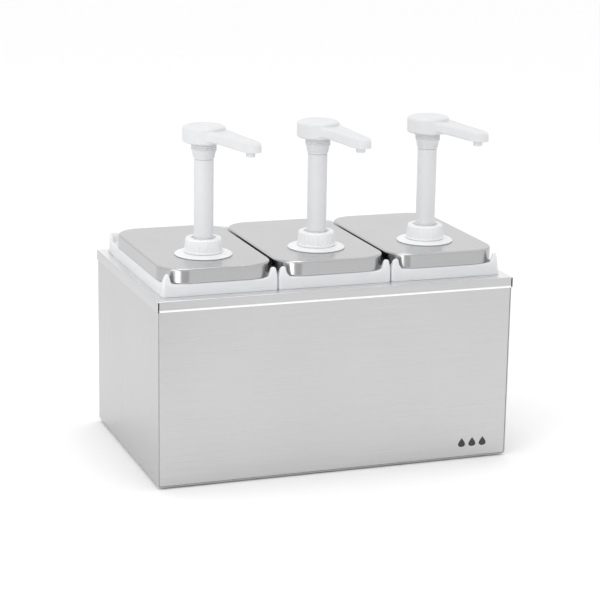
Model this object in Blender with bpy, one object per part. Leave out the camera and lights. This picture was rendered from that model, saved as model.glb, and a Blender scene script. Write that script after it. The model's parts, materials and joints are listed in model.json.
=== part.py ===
"""Triple condiment pump dispenser: a stainless cabinet that holds three lift-out containers,
each with a pressed lid and a hand pump. Origin on the table under the cabinet's centre,
+X to the right, +Y to the back, +Z up. Run with: blender --background --python part.py"""
import math

import bmesh
import bpy
from mathutils import Matrix

MM = 0.001
GAP = 0.3 * MM                      # clearance between pieces that touch

# Cabinet
CABINET_WIDTH = 400 * MM
CABINET_DEPTH = 251 * MM
SHEET = 1.0 * MM
FOOT_HEIGHT = 2.0 * MM
FOOT_RADIUS = 9.0 * MM
FOOT_INSET = 28.0 * MM
FRAME_TOP = 204 * MM                # upper face of the top frame
LIP_HEIGHT = 11.6 * MM
LIP_SHEET = 0.9 * MM
SLIT_WIDTH = 1.3 * MM               # open corner between two lips of the top frame
WRAP_BEND = 3.5 * MM                # outer bend radius where the sides turn into the bottom
PANEL_GAP = 0.4 * MM
PANEL_FLANGE = 12 * MM

# Stations: one container, lid and pump each
PITCH = 128 * MM
STATIONS = (("left", -PITCH), ("middle", 0.0), ("right", PITCH))
PUMP_Y = -49 * MM                   # the pumps' axes stand forward of the lids' centres
SPOUT_TURN = {"left": 36, "middle": 28, "right": 40}    # degrees from straight ahead

# Container
RIM_WIDTH = 127.4 * MM
RIM_FRONT = -112 * MM
RIM_BACK = 114.5 * MM
RIM_CORNER = 5 * MM
RIM_FLARE = 1.6 * MM                # how much narrower the band is at its upper edge
DECK_TOP = 217 * MM
WALL = 2.0 * MM
MOUTH_WIDTH = 110 * MM
MOUTH_DEPTH = 196 * MM
MOUTH_Y = -6.5 * MM
MOUTH_CORNER = 20 * MM
MOUTH_TOP = 222 * MM
TUB_BOTTOM = 16 * MM
TUB_TAPER = 3 * MM                  # how far each wall leans in from mouth to floor
FRAME_CLEARANCE = 1.5 * MM          # between the tub and the opening it hangs in
EAR_HEIGHT = 11 * MM
EAR_WIDTH = 9.5 * MM
EAR_DEPTH = 13 * MM
BACK_EAR_HEIGHT = 9.2 * MM
BACK_EAR_WIDTH = 16 * MM

# Lid
LID_WIDTH = 124 * MM
LID_DEPTH = 207 * MM
LID_Y = -7.0 * MM
LID_CORNER = 29 * MM
LID_TOP = 233 * MM
LID_SHEET = 0.8 * MM
LID_EDGE = 2.5 * MM                 # radius of the pressed top edge
LID_HOLE = 17.6 * MM

# Pump, all radii from its own axis
TURNED_SEGMENTS = 16
STEM_RADIUS = 10.5 * MM
BORE_RADIUS = 11.6 * MM
CYLINDER_BOTTOM = 96 * MM
NUT_TOP = 251.7 * MM
SPRING_BOTTOM = 106.5 * MM
SPRING_TOP = 202.2 * MM
SPRING_RADIUS = 8.8 * MM
SPRING_WIRE = 0.8 * MM
SPRING_TURNS = 6
SPRING_STEPS = 8                    # along each turn
INLET_BALL_RADIUS = 4.0 * MM
INLET_BALL_Z = 97.8 * MM
OUTLET_BALL_RADIUS = 3.2 * MM
OUTLET_BALL_Z = 211.6 * MM
DIP_TUBE_BOTTOM = 24 * MM

# Head and spout; the spout is modelled along +X and turned afterwards
HEAD_RADIUS = 22.9 * MM
HEAD_BOTTOM = 354 * MM
HEAD_TOP = 372.5 * MM
BOSS_BOTTOM = 336.5 * MM
ARM_REACH = 72 * MM
ARM_ROOT_HALF = 11 * MM
ARM_TIP_HALF = 8.5 * MM
ARM_TOP_AT_ROOT = 369.2 * MM
ARM_TOP_SLOPE = -0.17
ARM_BOTTOM_AT_ROOT = 357.4 * MM
ARM_BOTTOM_SLOPE = -0.184
ARM_BOTTOM_LOW = 350.3 * MM         # level underside around the nozzle
NOZZLE_REACH = 60.7 * MM
NOZZLE_BOTTOM = 345 * MM
NOZZLE_SEGMENTS = 12


def clear_scene():
    for thing in list(bpy.data.objects):
        bpy.data.objects.remove(thing, do_unlink=True)


def make_material(name, colour, roughness, metallic):
    finish = bpy.data.materials.new(name)
    finish.use_nodes = True
    shader = finish.node_tree.nodes["Principled BSDF"]
    shader.inputs["Base Color"].default_value = (*colour, 1.0)
    shader.inputs["Roughness"].default_value = roughness
    shader.inputs["Metallic"].default_value = metallic
    return finish


# Outlines and rings ------------------------------------------------------------------------

def rounded_rectangle(width, depth, corner, centre_y=0.0, steps=4):
    """Points of a rounded rectangle about (0, centre_y), counter-clockwise from +X."""
    points = []
    for quarter in range(4):
        start = quarter * math.pi / 2
        side_x = (1, -1, -1, 1)[quarter]
        side_y = (1, 1, -1, -1)[quarter]
        for step in range(steps + 1):
            angle = start + step * math.pi / 2 / steps
            x = side_x * (width / 2 - corner) + corner * math.cos(angle)
            y = side_y * (depth / 2 - corner) + corner * math.sin(angle)
            points.append((x, y + centre_y))
    return points


def flat_ring(outline, z):
    return [(x, y, z) for x, y in outline]


def circle_ring(radius, z, segments=TURNED_SEGMENTS):
    angles = [2 * math.pi * i / segments for i in range(segments)]
    return [(radius * math.cos(a), radius * math.sin(a), z) for a in angles]


def hexagon_ring(half_flat, z, segments=TURNED_SEGMENTS * 3):
    """A hexagon with points along its sides, so that it joins a round ring of as many points."""
    ring = []
    for i in range(segments):
        angle = 2 * math.pi * i / segments
        from_flat = (angle + math.pi / 6) % (math.pi / 3) - math.pi / 6
        radius = half_flat / math.cos(from_flat)
        ring.append((radius * math.cos(angle), radius * math.sin(angle), z))
    return ring


# Solids ------------------------------------------------------------------------------------

def loft(rings, closed=False):
    """Joins rings of equal length by quads: with flat ends, or closed on itself like a tyre."""
    bm = bmesh.new()
    rows = [[bm.verts.new(point) for point in ring] for ring in rings]
    count = len(rows[0])
    pairs = list(zip(rows, rows[1:]))
    if closed:
        pairs.append((rows[-1], rows[0]))
    for lower, upper in pairs:
        for i in range(count):
            j = (i + 1) % count
            bm.faces.new((lower[i], lower[j], upper[j], upper[i]))
    if not closed:
        bm.faces.new(rows[0])
        bm.faces.new(rows[-1])
    bmesh.ops.recalc_face_normals(bm, faces=bm.faces)
    return bm


def turned(profile, segments=TURNED_SEGMENTS):
    """A ring turned about Z from a closed profile of (radius, z) in millimetres."""
    return loft([circle_ring(r * MM, z * MM, segments) for r, z in profile], closed=True)


def solid_turned(profile, segments=TURNED_SEGMENTS):
    """A solid turned about Z from an open profile of (radius, z) in millimetres."""
    return loft([circle_ring(r * MM, z * MM, segments) for r, z in profile])


def box(low, high):
    bm = bmesh.new()
    size = [b - a for a, b in zip(low, high)]
    middle = [(a + b) / 2 for a, b in zip(low, high)]
    place = Matrix.Translation(middle) @ Matrix.Diagonal((*size, 1.0))
    bmesh.ops.create_cube(bm, size=1.0, matrix=place)
    return bm


def rod(radius, length, place, segments=TURNED_SEGMENTS):
    """A plain cylinder that starts at its local origin and runs along its local +Z."""
    bm = loft([circle_ring(radius, 0.0, segments), circle_ring(radius, length, segments)])
    bmesh.ops.transform(bm, matrix=place, verts=bm.verts)
    return bm


def to_mesh(bm, name):
    mesh = bpy.data.meshes.new(name)
    bm.to_mesh(mesh)
    bm.free()
    return mesh


def combined(name, base, steps):
    """Applies Boolean steps, pairs of (operation, bmesh), to a base bmesh and gives a mesh."""
    body = bpy.data.objects.new(name + "_base", to_mesh(base, name + "_base"))
    bpy.context.collection.objects.link(body)
    helpers = [body]
    for number, (operation, tool_bm) in enumerate(steps):
        tool = bpy.data.objects.new(f"{name}_tool_{number}", to_mesh(tool_bm, f"{name}_tool"))
        tool.hide_render = True
        tool.display_type = 'WIRE'
        bpy.context.collection.objects.link(tool)
        cut = body.modifiers.new(f"{operation.lower()}_{number}", 'BOOLEAN')
        cut.operation = operation
        cut.solver = 'EXACT'
        cut.object = tool
        helpers.append(tool)
    evaluated = body.evaluated_get(bpy.context.evaluated_depsgraph_get())
    mesh = bpy.data.meshes.new_from_object(evaluated)
    mesh.name = name
    for helper in helpers:
        bpy.data.objects.remove(helper, do_unlink=True)
    return mesh


def add_piece(name, mesh, finish, location=(0.0, 0.0, 0.0), turn=0.0, parent=None):
    mesh.materials.clear()
    mesh.materials.append(finish)
    mesh.shade_smooth()
    mesh.set_sharp_from_angle(angle=math.radians(35))
    piece = bpy.data.objects.new(name, mesh)
    bpy.context.collection.objects.link(piece)
    piece.location = location
    piece.rotation_euler = (0.0, 0.0, turn)
    piece.parent = parent
    return piece


# Cabinet -----------------------------------------------------------------------------------

def wrapper_mesh():
    """One sheet bent into a U: left side, bottom and right side."""
    top = FRAME_TOP - SHEET - GAP
    half = CABINET_WIDTH / 2
    bend_steps = 4

    def path(inset):
        radius = WRAP_BEND - inset
        points = [(-half + inset, top)]
        for side in (-1, 1):
            centre = (side * (half - WRAP_BEND), FOOT_HEIGHT + WRAP_BEND)
            for step in range(bend_steps + 1):
                share = step if side < 0 else bend_steps - step
                angle = share * math.pi / 2 / bend_steps
                points.append((centre[0] + side * radius * math.cos(angle),
                               centre[1] - radius * math.sin(angle)))
        points.append((half - inset, top))
        return points

    section = path(0.0) + list(reversed(path(SHEET)))
    front = [(x, -CABINET_DEPTH / 2, z) for x, z in section]
    back = [(x, CABINET_DEPTH / 2, z) for x, z in section]
    return to_mesh(loft([front, back]), "cabinet_wrapper")


def end_panel_mesh(name, side):
    """A shallow pan set between the sides; side is -1 for the front and 1 for the back."""
    width = CABINET_WIDTH - 2 * (SHEET + PANEL_GAP)
    low = FOOT_HEIGHT + SHEET + PANEL_GAP
    high = FRAME_TOP - SHEET - GAP
    face = side * CABINET_DEPTH / 2
    corner = WRAP_BEND - SHEET - GAP

    def ring(inset, depth):
        outline = rounded_rectangle(width - 2 * inset, high - low - 2 * inset,
                                    max(corner - inset, 0.8 * MM), (low + high) / 2, steps=2)
        return [(x, face - side * depth, z) for x, z in outline]

    rings = [ring(0.0, 0.0), ring(0.0, PANEL_FLANGE), ring(SHEET, PANEL_FLANGE), ring(SHEET, SHEET)]
    return to_mesh(loft(rings), name)


def frame_opening():
    """Cutter for the opening that one tub hangs in."""
    width = MOUTH_WIDTH + 2 * FRAME_CLEARANCE
    depth = MOUTH_DEPTH + 2 * FRAME_CLEARANCE
    outline = rounded_rectangle(width, depth, MOUTH_CORNER + FRAME_CLEARANCE, MOUTH_Y, steps=3)
    low = FRAME_TOP - 3 * SHEET
    return loft([flat_ring(outline, low), flat_ring(outline, FRAME_TOP + SHEET)])


def top_frame_mesh():
    """A plate with three openings and a turned-down lip, open at its four corners."""
    width = CABINET_WIDTH + 2 * (GAP + LIP_SHEET)
    depth = CABINET_DEPTH + 2 * (GAP + LIP_SHEET)
    low = FRAME_TOP - LIP_HEIGHT
    corner = 1.0 * MM

    def ring(inset, z):
        size = (width - 2 * inset, depth - 2 * inset)
        return flat_ring(rounded_rectangle(*size, max(corner - inset, 0.3 * MM), steps=1), z)

    pan = loft([ring(0.0, FRAME_TOP), ring(0.0, low), ring(LIP_SHEET, low),
                ring(LIP_SHEET, FRAME_TOP - SHEET)])
    steps = []
    for _, x in STATIONS:
        cutter = frame_opening()
        bmesh.ops.translate(cutter, vec=(x, 0.0, 0.0), verts=cutter.verts)
        steps.append(('DIFFERENCE', cutter))
    for side_x in (-1, 1):
        for side_y in (-1, 1):
            xs = sorted(side_x * (width / 2 - inset) for inset in (LIP_SHEET, LIP_SHEET + SLIT_WIDTH))
            ys = sorted(side_y * (depth / 2 + shift) for shift in (SHEET, -1.5 * LIP_SHEET))
            steps.append(('DIFFERENCE', box((xs[0], ys[0], low - SHEET),
                                            (xs[1], ys[1], FRAME_TOP - 1.5 * SHEET))))
    return combined("top_frame", pan, steps)


def build_cabinet(steel, rubber):
    add_piece("cabinet_wrapper", wrapper_mesh(), steel)
    add_piece("front_panel", end_panel_mesh("front_panel", -1), steel)
    add_piece("back_panel", end_panel_mesh("back_panel", 1), steel)
    add_piece("top_frame", top_frame_mesh(), steel)
    foot = rod(FOOT_RADIUS, FOOT_HEIGHT - GAP, Matrix.Identity(4))
    foot_mesh = to_mesh(foot, "foot")
    for end, side_y in (("front", -1), ("back", 1)):
        for side, side_x in (("left", -1), ("right", 1)):
            place = (side_x * (CABINET_WIDTH / 2 - FOOT_INSET),
                     side_y * (CABINET_DEPTH / 2 - FOOT_INSET), 0.0)
            add_piece(f"foot_{end}_{side}", foot_mesh, rubber, place)


# Container and lid -------------------------------------------------------------------------

def ear(side, end):
    """The upright ear on one corner of the rim, lower away from the face at its end (-1 the front)."""
    outer = side * (RIM_WIDTH / 2 - RIM_FLARE - 0.2 * MM)
    if end < 0:
        face, full_width, full_height, rounding = RIM_FRONT, EAR_WIDTH, EAR_HEIGHT, EAR_WIDTH
        sections = ((0.0, 1.0, 1.0), (0.45, 0.78, 0.66), (1.0, 0.34, 0.22))    # way in, width, height
    else:
        face, full_width, full_height, rounding = RIM_BACK, BACK_EAR_WIDTH, BACK_EAR_HEIGHT, 1.5 * MM
        sections = ((0.0, 1.0, 1.0), (0.4, 0.96, 0.92), (1.0, 0.8, 0.2))
    rings = []
    for way_in, width_share, height_share in sections:
        y = face - end * (RIM_FLARE + 0.2 * MM + way_in * EAR_DEPTH)
        width = width_share * full_width
        height = height_share * full_height
        tip = min(0.32 * width, 0.5 * height, rounding)
        top = DECK_TOP + height
        low = DECK_TOP - 0.5 * WALL
        across = [(0.0, low), (0.0, top - 1.6 * tip), (0.31 * tip, top - 0.5 * tip), (1.06 * tip, top),
                  (width - 1.25 * tip, top), (width - 0.5 * tip, top - 0.9 * tip), (width, DECK_TOP),
                  (width, low)]
        rings.append([(outer - side * inward, y, z) for inward, z in across])
    return loft(rings)


def container_mesh():
    """A deep tub with a wide hollow rim band, a low upstand inside the lid, and corner ears."""
    rim_depth = RIM_BACK - RIM_FRONT
    rim_y = (RIM_BACK + RIM_FRONT) / 2

    def rim(inset, z):
        size = (RIM_WIDTH - 2 * inset, rim_depth - 2 * inset)
        return flat_ring(rounded_rectangle(*size, max(RIM_CORNER - inset, 1.5 * MM), rim_y), z)

    def tub(inset, z):
        size = (MOUTH_WIDTH - 2 * inset, MOUTH_DEPTH - 2 * inset)
        return flat_ring(rounded_rectangle(*size, MOUTH_CORNER - inset, MOUTH_Y), z)

    band_low = FRAME_TOP + GAP
    rings = [
        tub(TUB_TAPER, TUB_BOTTOM),
        tub(0.0, DECK_TOP - 1.1 * WALL),
        rim(RIM_FLARE + WALL, DECK_TOP - 1.1 * WALL),
        rim(WALL, band_low),
        rim(0.0, band_low),
        rim(RIM_FLARE, DECK_TOP),
        tub(0.0, DECK_TOP),
        tub(0.0, MOUTH_TOP),
        tub(WALL, MOUTH_TOP),
        tub(TUB_TAPER + WALL, TUB_BOTTOM + 1.1 * WALL),
    ]
    ears = [('UNION', ear(side, end)) for end in (-1, 1) for side in (-1, 1)]
    return combined("container", loft(rings), ears)


def lid_mesh():
    """A pressed lid: flat top, rounded edge, straight skirt, and the hole for its pump."""
    def ring(inset, z):
        size = (LID_WIDTH - 2 * inset, LID_DEPTH - 2 * inset)
        return flat_ring(rounded_rectangle(*size, LID_CORNER - inset, LID_Y), z)

    low = DECK_TOP + GAP
    half_way = LID_EDGE * (1 - math.sqrt(0.5))      # how far the rounded edge is in at 45 degrees
    rings = [
        ring(LID_EDGE + LID_SHEET, LID_TOP - LID_SHEET),
        ring(LID_SHEET, LID_TOP - LID_EDGE - LID_SHEET),
        ring(LID_SHEET, low),
        ring(0.0, low),
        ring(0.0, LID_TOP - LID_EDGE),
        ring(half_way, LID_TOP - half_way),
        ring(LID_EDGE, LID_TOP),
    ]
    hole = rod(LID_HOLE, 4 * MM, Matrix.Translation((0.0, PUMP_Y, LID_TOP - 2 * MM)))
    return combined("lid", loft(rings), [('DIFFERENCE', hole)])


# Pump --------------------------------------------------------------------------------------

def retaining_nut_mesh():
    """Hexagonal nut that clamps the mounting flange from under the lid."""
    segments = TURNED_SEGMENTS * 3
    low, high = 224.5 * MM, LID_TOP - LID_SHEET - GAP
    hole, half_flat = 17.55 * MM, 22 * MM
    rings = [circle_ring(hole, low, segments), hexagon_ring(half_flat, low),
             hexagon_ring(half_flat, high), circle_ring(hole, high, segments)]
    return to_mesh(loft(rings, closed=True), "retaining_nut")


def spring_mesh():
    """Compression spring, a round wire along a helix with closed ends."""
    wire_sides = 4
    count = SPRING_TURNS * SPRING_STEPS
    low = SPRING_BOTTOM + SPRING_WIRE
    rise = SPRING_TOP - SPRING_BOTTOM - 2 * SPRING_WIRE
    rings = []
    for i in range(count + 1):
        angle = 2 * math.pi * i / SPRING_STEPS
        height = low + rise * i / count
        ring = []
        for side in range(wire_sides):
            around = 2 * math.pi * side / wire_sides
            radius = SPRING_RADIUS + SPRING_WIRE * math.cos(around)
            ring.append((radius * math.cos(angle), radius * math.sin(angle),
                         height + SPRING_WIRE * math.sin(around)))
        rings.append(ring)
    return to_mesh(loft(rings), "return_spring")


def ball_mesh(name, radius, z):
    bm = bmesh.new()
    bmesh.ops.create_icosphere(bm, subdivisions=2, radius=radius,
                               matrix=Matrix.Translation((0.0, 0.0, z)))
    return to_mesh(bm, name)


def turned_meshes():
    """The pump's turned pieces, as closed profiles of (radius, z) in millimetres."""
    stem = STEM_RADIUS / MM
    bore = BORE_RADIUS / MM
    foot = CYLINDER_BOTTOM / MM
    nut = NUT_TOP / MM
    profiles = {
        "mounting_flange": [(15.0, 222), (17.2, 222), (17.2, 233.3), (31, 233.3), (31, 234.9),
                            (30, 235.8), (16.5, 235.8), (16.5, 240.5), (15.0, 240.5)],
        "collar_nut": [(16.9, 236.1), (20.7, 236.1), (20.7, 237.4), (20.2, 238.6), (18.8, nut - 1.4),
                       (18.0, nut), (14.0, nut), (14.0, 245), (11.1, 245), (11.1, 243.4), (16.9, 243.4)],
        "stem_guide": [(stem + 0.3, 218.8), (12.8, 218.8), (12.8, 242), (16.3, 242), (16.3, 243.1),
                       (stem + 0.3, 243.1)],
        "pump_cylinder": [(bore, foot), (bore, 217), (13.1, 218.5), (13.1, 241.7), (16.3, 241.7),
                          (16.3, 240.8), (14.7, 240.8), (14.7, 217.5), (13.3, 216), (13.3, foot)],
        "foot_valve": [(2.6, foot - 14), (2.6, foot - 1.5), (6.2, foot + 2.1), (6.2, foot + 9),
                       (3.2, foot + 9), (3.2, foot + 10.2), (bore - 0.4, foot + 10.2),
                       (bore - 0.4, foot - 0.3), (13.3, foot - 0.3), (13.3, foot - 3.8),
                       (4.7, foot - 3.8), (4.7, foot - 14)],
        "dip_tube": [(5.0, DIP_TUBE_BOTTOM / MM), (6.3, DIP_TUBE_BOTTOM / MM), (6.3, foot - 4.1),
                     (5.0, foot - 4.1)],
        "piston": [(2.2, 202.5), (2.2, 209), (4.9, 211.7), (4.9, 217.3), (2.6, 217.3), (2.6, 218.5),
                   (6.6, 218.5), (6.6, 216.5), (11.3, 216.5), (11.3, 214.5), (10, 213.5), (10, 205.5),
                   (11.3, 204.5), (11.3, 202.5)],
        "stem": [(7, 216.8), (7, 332), (5.5, 334), (5.5, 350), (8, 350), (8, 336.2), (stem, 336.2),
                 (stem, 218.5), (11.2, 218.5), (11.2, 216.8)],
    }
    return {name: to_mesh(turned(profile), name) for name, profile in profiles.items()}


def arm_outline():
    """Half plan of the arm: (reach, half width), straight and tapered, then a round tip."""
    tip_centre = ARM_REACH - ARM_TIP_HALF
    half = [(9 * MM, ARM_ROOT_HALF), (NOZZLE_REACH - 7 * MM, ARM_TIP_HALF + 0.4 * MM)]
    tip_steps = 5
    for step in range(tip_steps):
        angle = math.pi / 2 * (1 - step / tip_steps)
        half.append((tip_centre + ARM_TIP_HALF * math.cos(angle), ARM_TIP_HALF * math.sin(angle)))
    half.append((ARM_REACH, 0.0))
    return half


def arm():
    """The sloping spout arm, with rounded upper edges and a level patch around the nozzle."""
    root = 15.5 * MM
    half = arm_outline()

    def bottom(reach):
        return max(ARM_BOTTOM_AT_ROOT + ARM_BOTTOM_SLOPE * (reach - root), ARM_BOTTOM_LOW)

    def top(reach):
        return ARM_TOP_AT_ROOT + ARM_TOP_SLOPE * (reach - root)

    levels = (                       # share of the half width, and height at a reach
        (0.93, bottom),
        (1.0, lambda reach: bottom(reach) + 1.0 * MM),
        (1.0, lambda reach: top(reach) - 3.2 * MM),
        (0.9, lambda reach: top(reach) - 1.0 * MM),
        (0.62, top),
    )
    bm = bmesh.new()
    rows = []
    for share, height in levels:
        pulled = [(root + (reach - root) * (1 - (1 - share) * 0.15), width * share)
                  for reach, width in half]
        left = [bm.verts.new((x, y, height(x))) for x, y in pulled]
        right = [bm.verts.new((x, -y, height(x))) for x, y in pulled[:-1]]
        rows.append((left, right))
    for (left_a, right_a), (left_b, right_b) in zip(rows, rows[1:]):
        loop_a = left_a + list(reversed(right_a))
        loop_b = left_b + list(reversed(right_b))
        count = len(loop_a)
        for i in range(count):
            j = (i + 1) % count
            bm.faces.new((loop_a[i], loop_a[j], loop_b[j], loop_b[i]))
    for left, right in (rows[0], rows[-1]):
        for i in range(len(right) - 1):
            bm.faces.new((left[i], left[i + 1], right[i + 1], right[i]))
        bm.faces.new((left[-2], left[-1], right[-1]))
    bmesh.ops.recalc_face_normals(bm, faces=bm.faces)
    return bm


def head_mesh():
    """Round head, sloping arm and threaded boss in one moulding, with the sauce way inside."""
    radius = HEAD_RADIUS / MM
    low, high = HEAD_BOTTOM / MM, HEAD_TOP / MM
    boss_low = BOSS_BOTTOM / MM
    cup = solid_turned([(radius - 2, low), (radius, low + 2), (radius, high - 3.6),
                        (radius - 0.9, high - 1.5), (radius - 3.2, high - 0.6), (radius - 4.2, high)],
                       segments=24)
    boss = solid_turned([(11.1, boss_low), (12.35, boss_low + 1.6), (12.35, boss_low + 6.4),
                         (13.1, boss_low + 8), (13.1, low + 1)], segments=TURNED_SEGMENTS)
    duct_from, duct_to = 360 * MM, 355.6 * MM
    drop = math.atan2(duct_from - duct_to, NOZZLE_REACH)
    duct_place = (Matrix.Translation((0.0, 0.0, duct_from))
                  @ Matrix.Rotation(math.pi / 2 + drop, 4, 'Y'))
    nozzle_place = Matrix.Translation((NOZZLE_REACH, 0.0, ARM_BOTTOM_LOW - 2 * MM))
    steps = [
        ('UNION', arm()),
        ('UNION', boss),
        ('DIFFERENCE', rod(8.3 * MM, 15 * MM, Matrix.Translation((0.0, 0.0, boss_low * MM - MM)))),
        ('DIFFERENCE', rod(5.5 * MM, 13 * MM, Matrix.Translation((0.0, 0.0, 350 * MM)), 8)),
        ('DIFFERENCE', rod(3.0 * MM, NOZZLE_REACH / math.cos(drop), duct_place, 8)),
        ('DIFFERENCE', rod(4.0 * MM, 9.5 * MM, nozzle_place, NOZZLE_SEGMENTS)),
    ]
    return combined("pump_head", cup, steps)


def nozzle_mesh():
    low = NOZZLE_BOTTOM / MM
    seat = ARM_BOTTOM_LOW / MM - 0.3
    bm = turned([(2.6, low), (2.6, seat + 6.5), (3.7, seat + 6.5), (3.7, seat), (4.9, seat), (4.9, low)],
                NOZZLE_SEGMENTS)
    bmesh.ops.translate(bm, vec=(NOZZLE_REACH, 0.0, 0.0), verts=bm.verts)
    return to_mesh(bm, "nozzle")


def build_stations(finishes):
    container, lid = container_mesh(), lid_mesh()
    pieces = turned_meshes()
    pieces["retaining_nut"] = retaining_nut_mesh()
    pieces["return_spring"] = spring_mesh()
    pieces["inlet_ball"] = ball_mesh("inlet_ball", INLET_BALL_RADIUS, INLET_BALL_Z)
    pieces["outlet_ball"] = ball_mesh("outlet_ball", OUTLET_BALL_RADIUS, OUTLET_BALL_Z)
    head, nozzle = head_mesh(), nozzle_mesh()
    metal = {"return_spring", "inlet_ball", "outlet_ball"}
    for station, x in STATIONS:
        add_piece(f"container_{station}", container, finishes["tub"], (x, 0.0, 0.0))
        add_piece(f"lid_{station}", lid, finishes["lid"], (x, 0.0, 0.0))
        axis = bpy.data.objects.new(f"pump_axis_{station}", None)
        axis.location = (x, PUMP_Y, 0.0)
        bpy.context.collection.objects.link(axis)
        for name, mesh in pieces.items():
            finish = finishes["wire"] if name in metal else finishes["pump"]
            add_piece(f"{name}_{station}", mesh, finish, parent=axis)
        turn = math.radians(SPOUT_TURN[station] - 90)
        add_piece(f"pump_head_{station}", head, finishes["pump"], turn=turn, parent=axis)
        add_piece(f"nozzle_{station}", nozzle, finishes["pump"], turn=turn, parent=axis)


def main():
    clear_scene()
    finishes = {
        "tub": make_material("container_plastic", (0.84, 0.85, 0.86), 0.42, 0.0),
        "lid": make_material("lid_steel", (0.63, 0.63, 0.63), 0.28, 1.0),
        "pump": make_material("pump_plastic", (0.88, 0.88, 0.89), 0.38, 0.0),
        "wire": make_material("spring_steel", (0.60, 0.60, 0.61), 0.25, 1.0),
    }
    cabinet_steel = make_material("cabinet_steel", (0.66, 0.66, 0.66), 0.33, 1.0)
    foot_rubber = make_material("foot_rubber", (0.03, 0.03, 0.03), 0.8, 0.0)
    build_cabinet(cabinet_steel, foot_rubber)
    build_stations(finishes)


main()
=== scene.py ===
"""Looks of a triple condiment pump dispenser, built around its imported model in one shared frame.
The cabinet is folded from satin stainless sheet, the lids are pressed steel, and the containers
and hand pumps are white plastic. Metres, +Z up, front towards -Y."""
import json
import math

import bmesh
import bpy
from mathutils import Matrix, Vector


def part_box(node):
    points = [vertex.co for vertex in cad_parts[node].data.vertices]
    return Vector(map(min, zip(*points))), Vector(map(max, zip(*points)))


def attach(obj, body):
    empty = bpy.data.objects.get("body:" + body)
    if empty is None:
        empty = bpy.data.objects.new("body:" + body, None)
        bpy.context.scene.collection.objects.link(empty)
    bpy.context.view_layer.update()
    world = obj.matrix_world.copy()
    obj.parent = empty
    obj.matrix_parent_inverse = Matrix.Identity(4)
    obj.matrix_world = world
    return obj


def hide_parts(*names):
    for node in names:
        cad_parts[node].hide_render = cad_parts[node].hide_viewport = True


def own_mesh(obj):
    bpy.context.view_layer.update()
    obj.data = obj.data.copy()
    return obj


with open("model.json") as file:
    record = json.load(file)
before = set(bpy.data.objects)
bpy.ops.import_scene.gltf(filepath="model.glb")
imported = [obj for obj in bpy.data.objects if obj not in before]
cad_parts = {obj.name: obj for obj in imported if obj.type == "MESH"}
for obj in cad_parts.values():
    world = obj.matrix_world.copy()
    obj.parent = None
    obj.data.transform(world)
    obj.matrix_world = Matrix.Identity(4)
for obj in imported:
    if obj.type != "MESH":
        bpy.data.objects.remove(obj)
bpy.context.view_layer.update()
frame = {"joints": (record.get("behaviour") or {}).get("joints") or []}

MM = 0.001
STATIONS = ("left", "middle", "right")

# Sheet metal of the cabinet
SHEET = 1.0 * MM
WRAP_BEND = 3.5 * MM                 # outer bend radius where a side turns into the bottom
PANEL_FLANGE = 12 * MM
PANEL_CORNER = 2.2 * MM
PANEL_EDGE = 0.6 * MM                # bend radius around the face of an end panel
PANEL_OVERLAP = 0.15 * MM            # how far a panel's flange tucks into the sides, to close the joint
FINE_EDGE = 0.16 * MM                # bevel on the cut edges of the sheet
LIP_SHEET = 0.9 * MM
LIP_BEND = 1.3 * MM                  # bend between the plate and the lip of the top frame
LIP_HEM = 0.8 * MM                   # height of the rounded lower edge of the lip
HEM_HEIGHT = 2.2 * MM                # bead along the lower edge of the lip, in near-white steel that paints a highlight
HEM_RISE = 0.35 * MM
HEM_SUNK = 0.3 * MM                  # how deep the bead sits in the lip
SLIT_WIDTH = 1.5 * MM
SLIT_BELOW_TOP = 1.2 * MM
NOTCH_DEPTH = 5 * MM                 # relief in the sides behind the slits of the top frame
NOTCH_HEIGHT = 10.2 * MM
TUB_CLEARANCE = 1.5 * MM             # between a tub and the opening it hangs in

# Printed drops on the front
DROP_HALF_HEIGHT = 5.2 * MM
DROP_PITCH = 12.5 * MM
DROPS_FROM_RIGHT = 39 * MM
DROPS_ABOVE_FOOT = 16 * MM
INK_FILM = 0.05 * MM

# Container
BAND_FLARE = 1.6 * MM                # how much narrower the rim band is at the deck
NEIGHBOUR_FLARE = 0.1 * MM           # the same, where a band stands against its neighbour
BAND_CORNER = 4 * MM
BAND_WALL = 2.0 * MM
DECK_BELOW_LID = 0.3 * MM
MOUTH_WIDTH = 110 * MM
MOUTH_DEPTH = 196 * MM
MOUTH_CORNER = 20 * MM
MOUTH_RISE = 5 * MM                  # upstand of the mouth above the deck, inside the lid
TUB_TAPER = 3 * MM
TUB_FLOOR_RADIUS = 9 * MM
DECK_EDGE = 1.2 * MM                 # rounding of the deck's outer edge
EAR_EDGE = 1.6 * MM                  # extra rounding on the ears
EAR_WIDTH = 6.3 * MM                 # from the outer side to half height
EAR_DEPTH = 5.8 * MM                 # from the front to half height
EAR_LEAN = 0.2                       # sideways slope of the front ears, towards the container's middle
BACK_EAR_HEIGHT = 9.2 * MM
BACK_EAR_WIDTH = 14.5 * MM           # from the outer side to half height
BACK_EAR_DEPTH = 8.5 * MM            # from the back to half height

# Lid
LID_CORNER = 29 * MM
LID_SHEET = 0.8 * MM
LID_EDGE = 2.5 * MM                  # radius of the pressed top edge
LID_HOLE = 17.6 * MM

# Pump
TURN_STEPS = 72
EDGE = 0.25                          # usual edge radius of a turned piece, millimetres
RETAINING_HOLE = 17.55 * MM
RETAINING_HALF_FLAT = 22 * MM
GRIP_RIBS = 48
THREAD_TURNS = 3.6
THREAD_PITCH = 2.15 * MM
GRIP_HEIGHT = 11.2 * MM
GRIP_FOOT_RADIUS = 19.85 * MM
GRIP_ABOVE_FOOT = 2.7 * MM
GRIP_LEAN = math.atan2(0.8, 11.7)
RIB_RADIUS = 0.62 * MM
SPRING_RADIUS = 8.8 * MM
SPRING_WIRE = 0.8 * MM
SPRING_TURNS = 6

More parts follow.
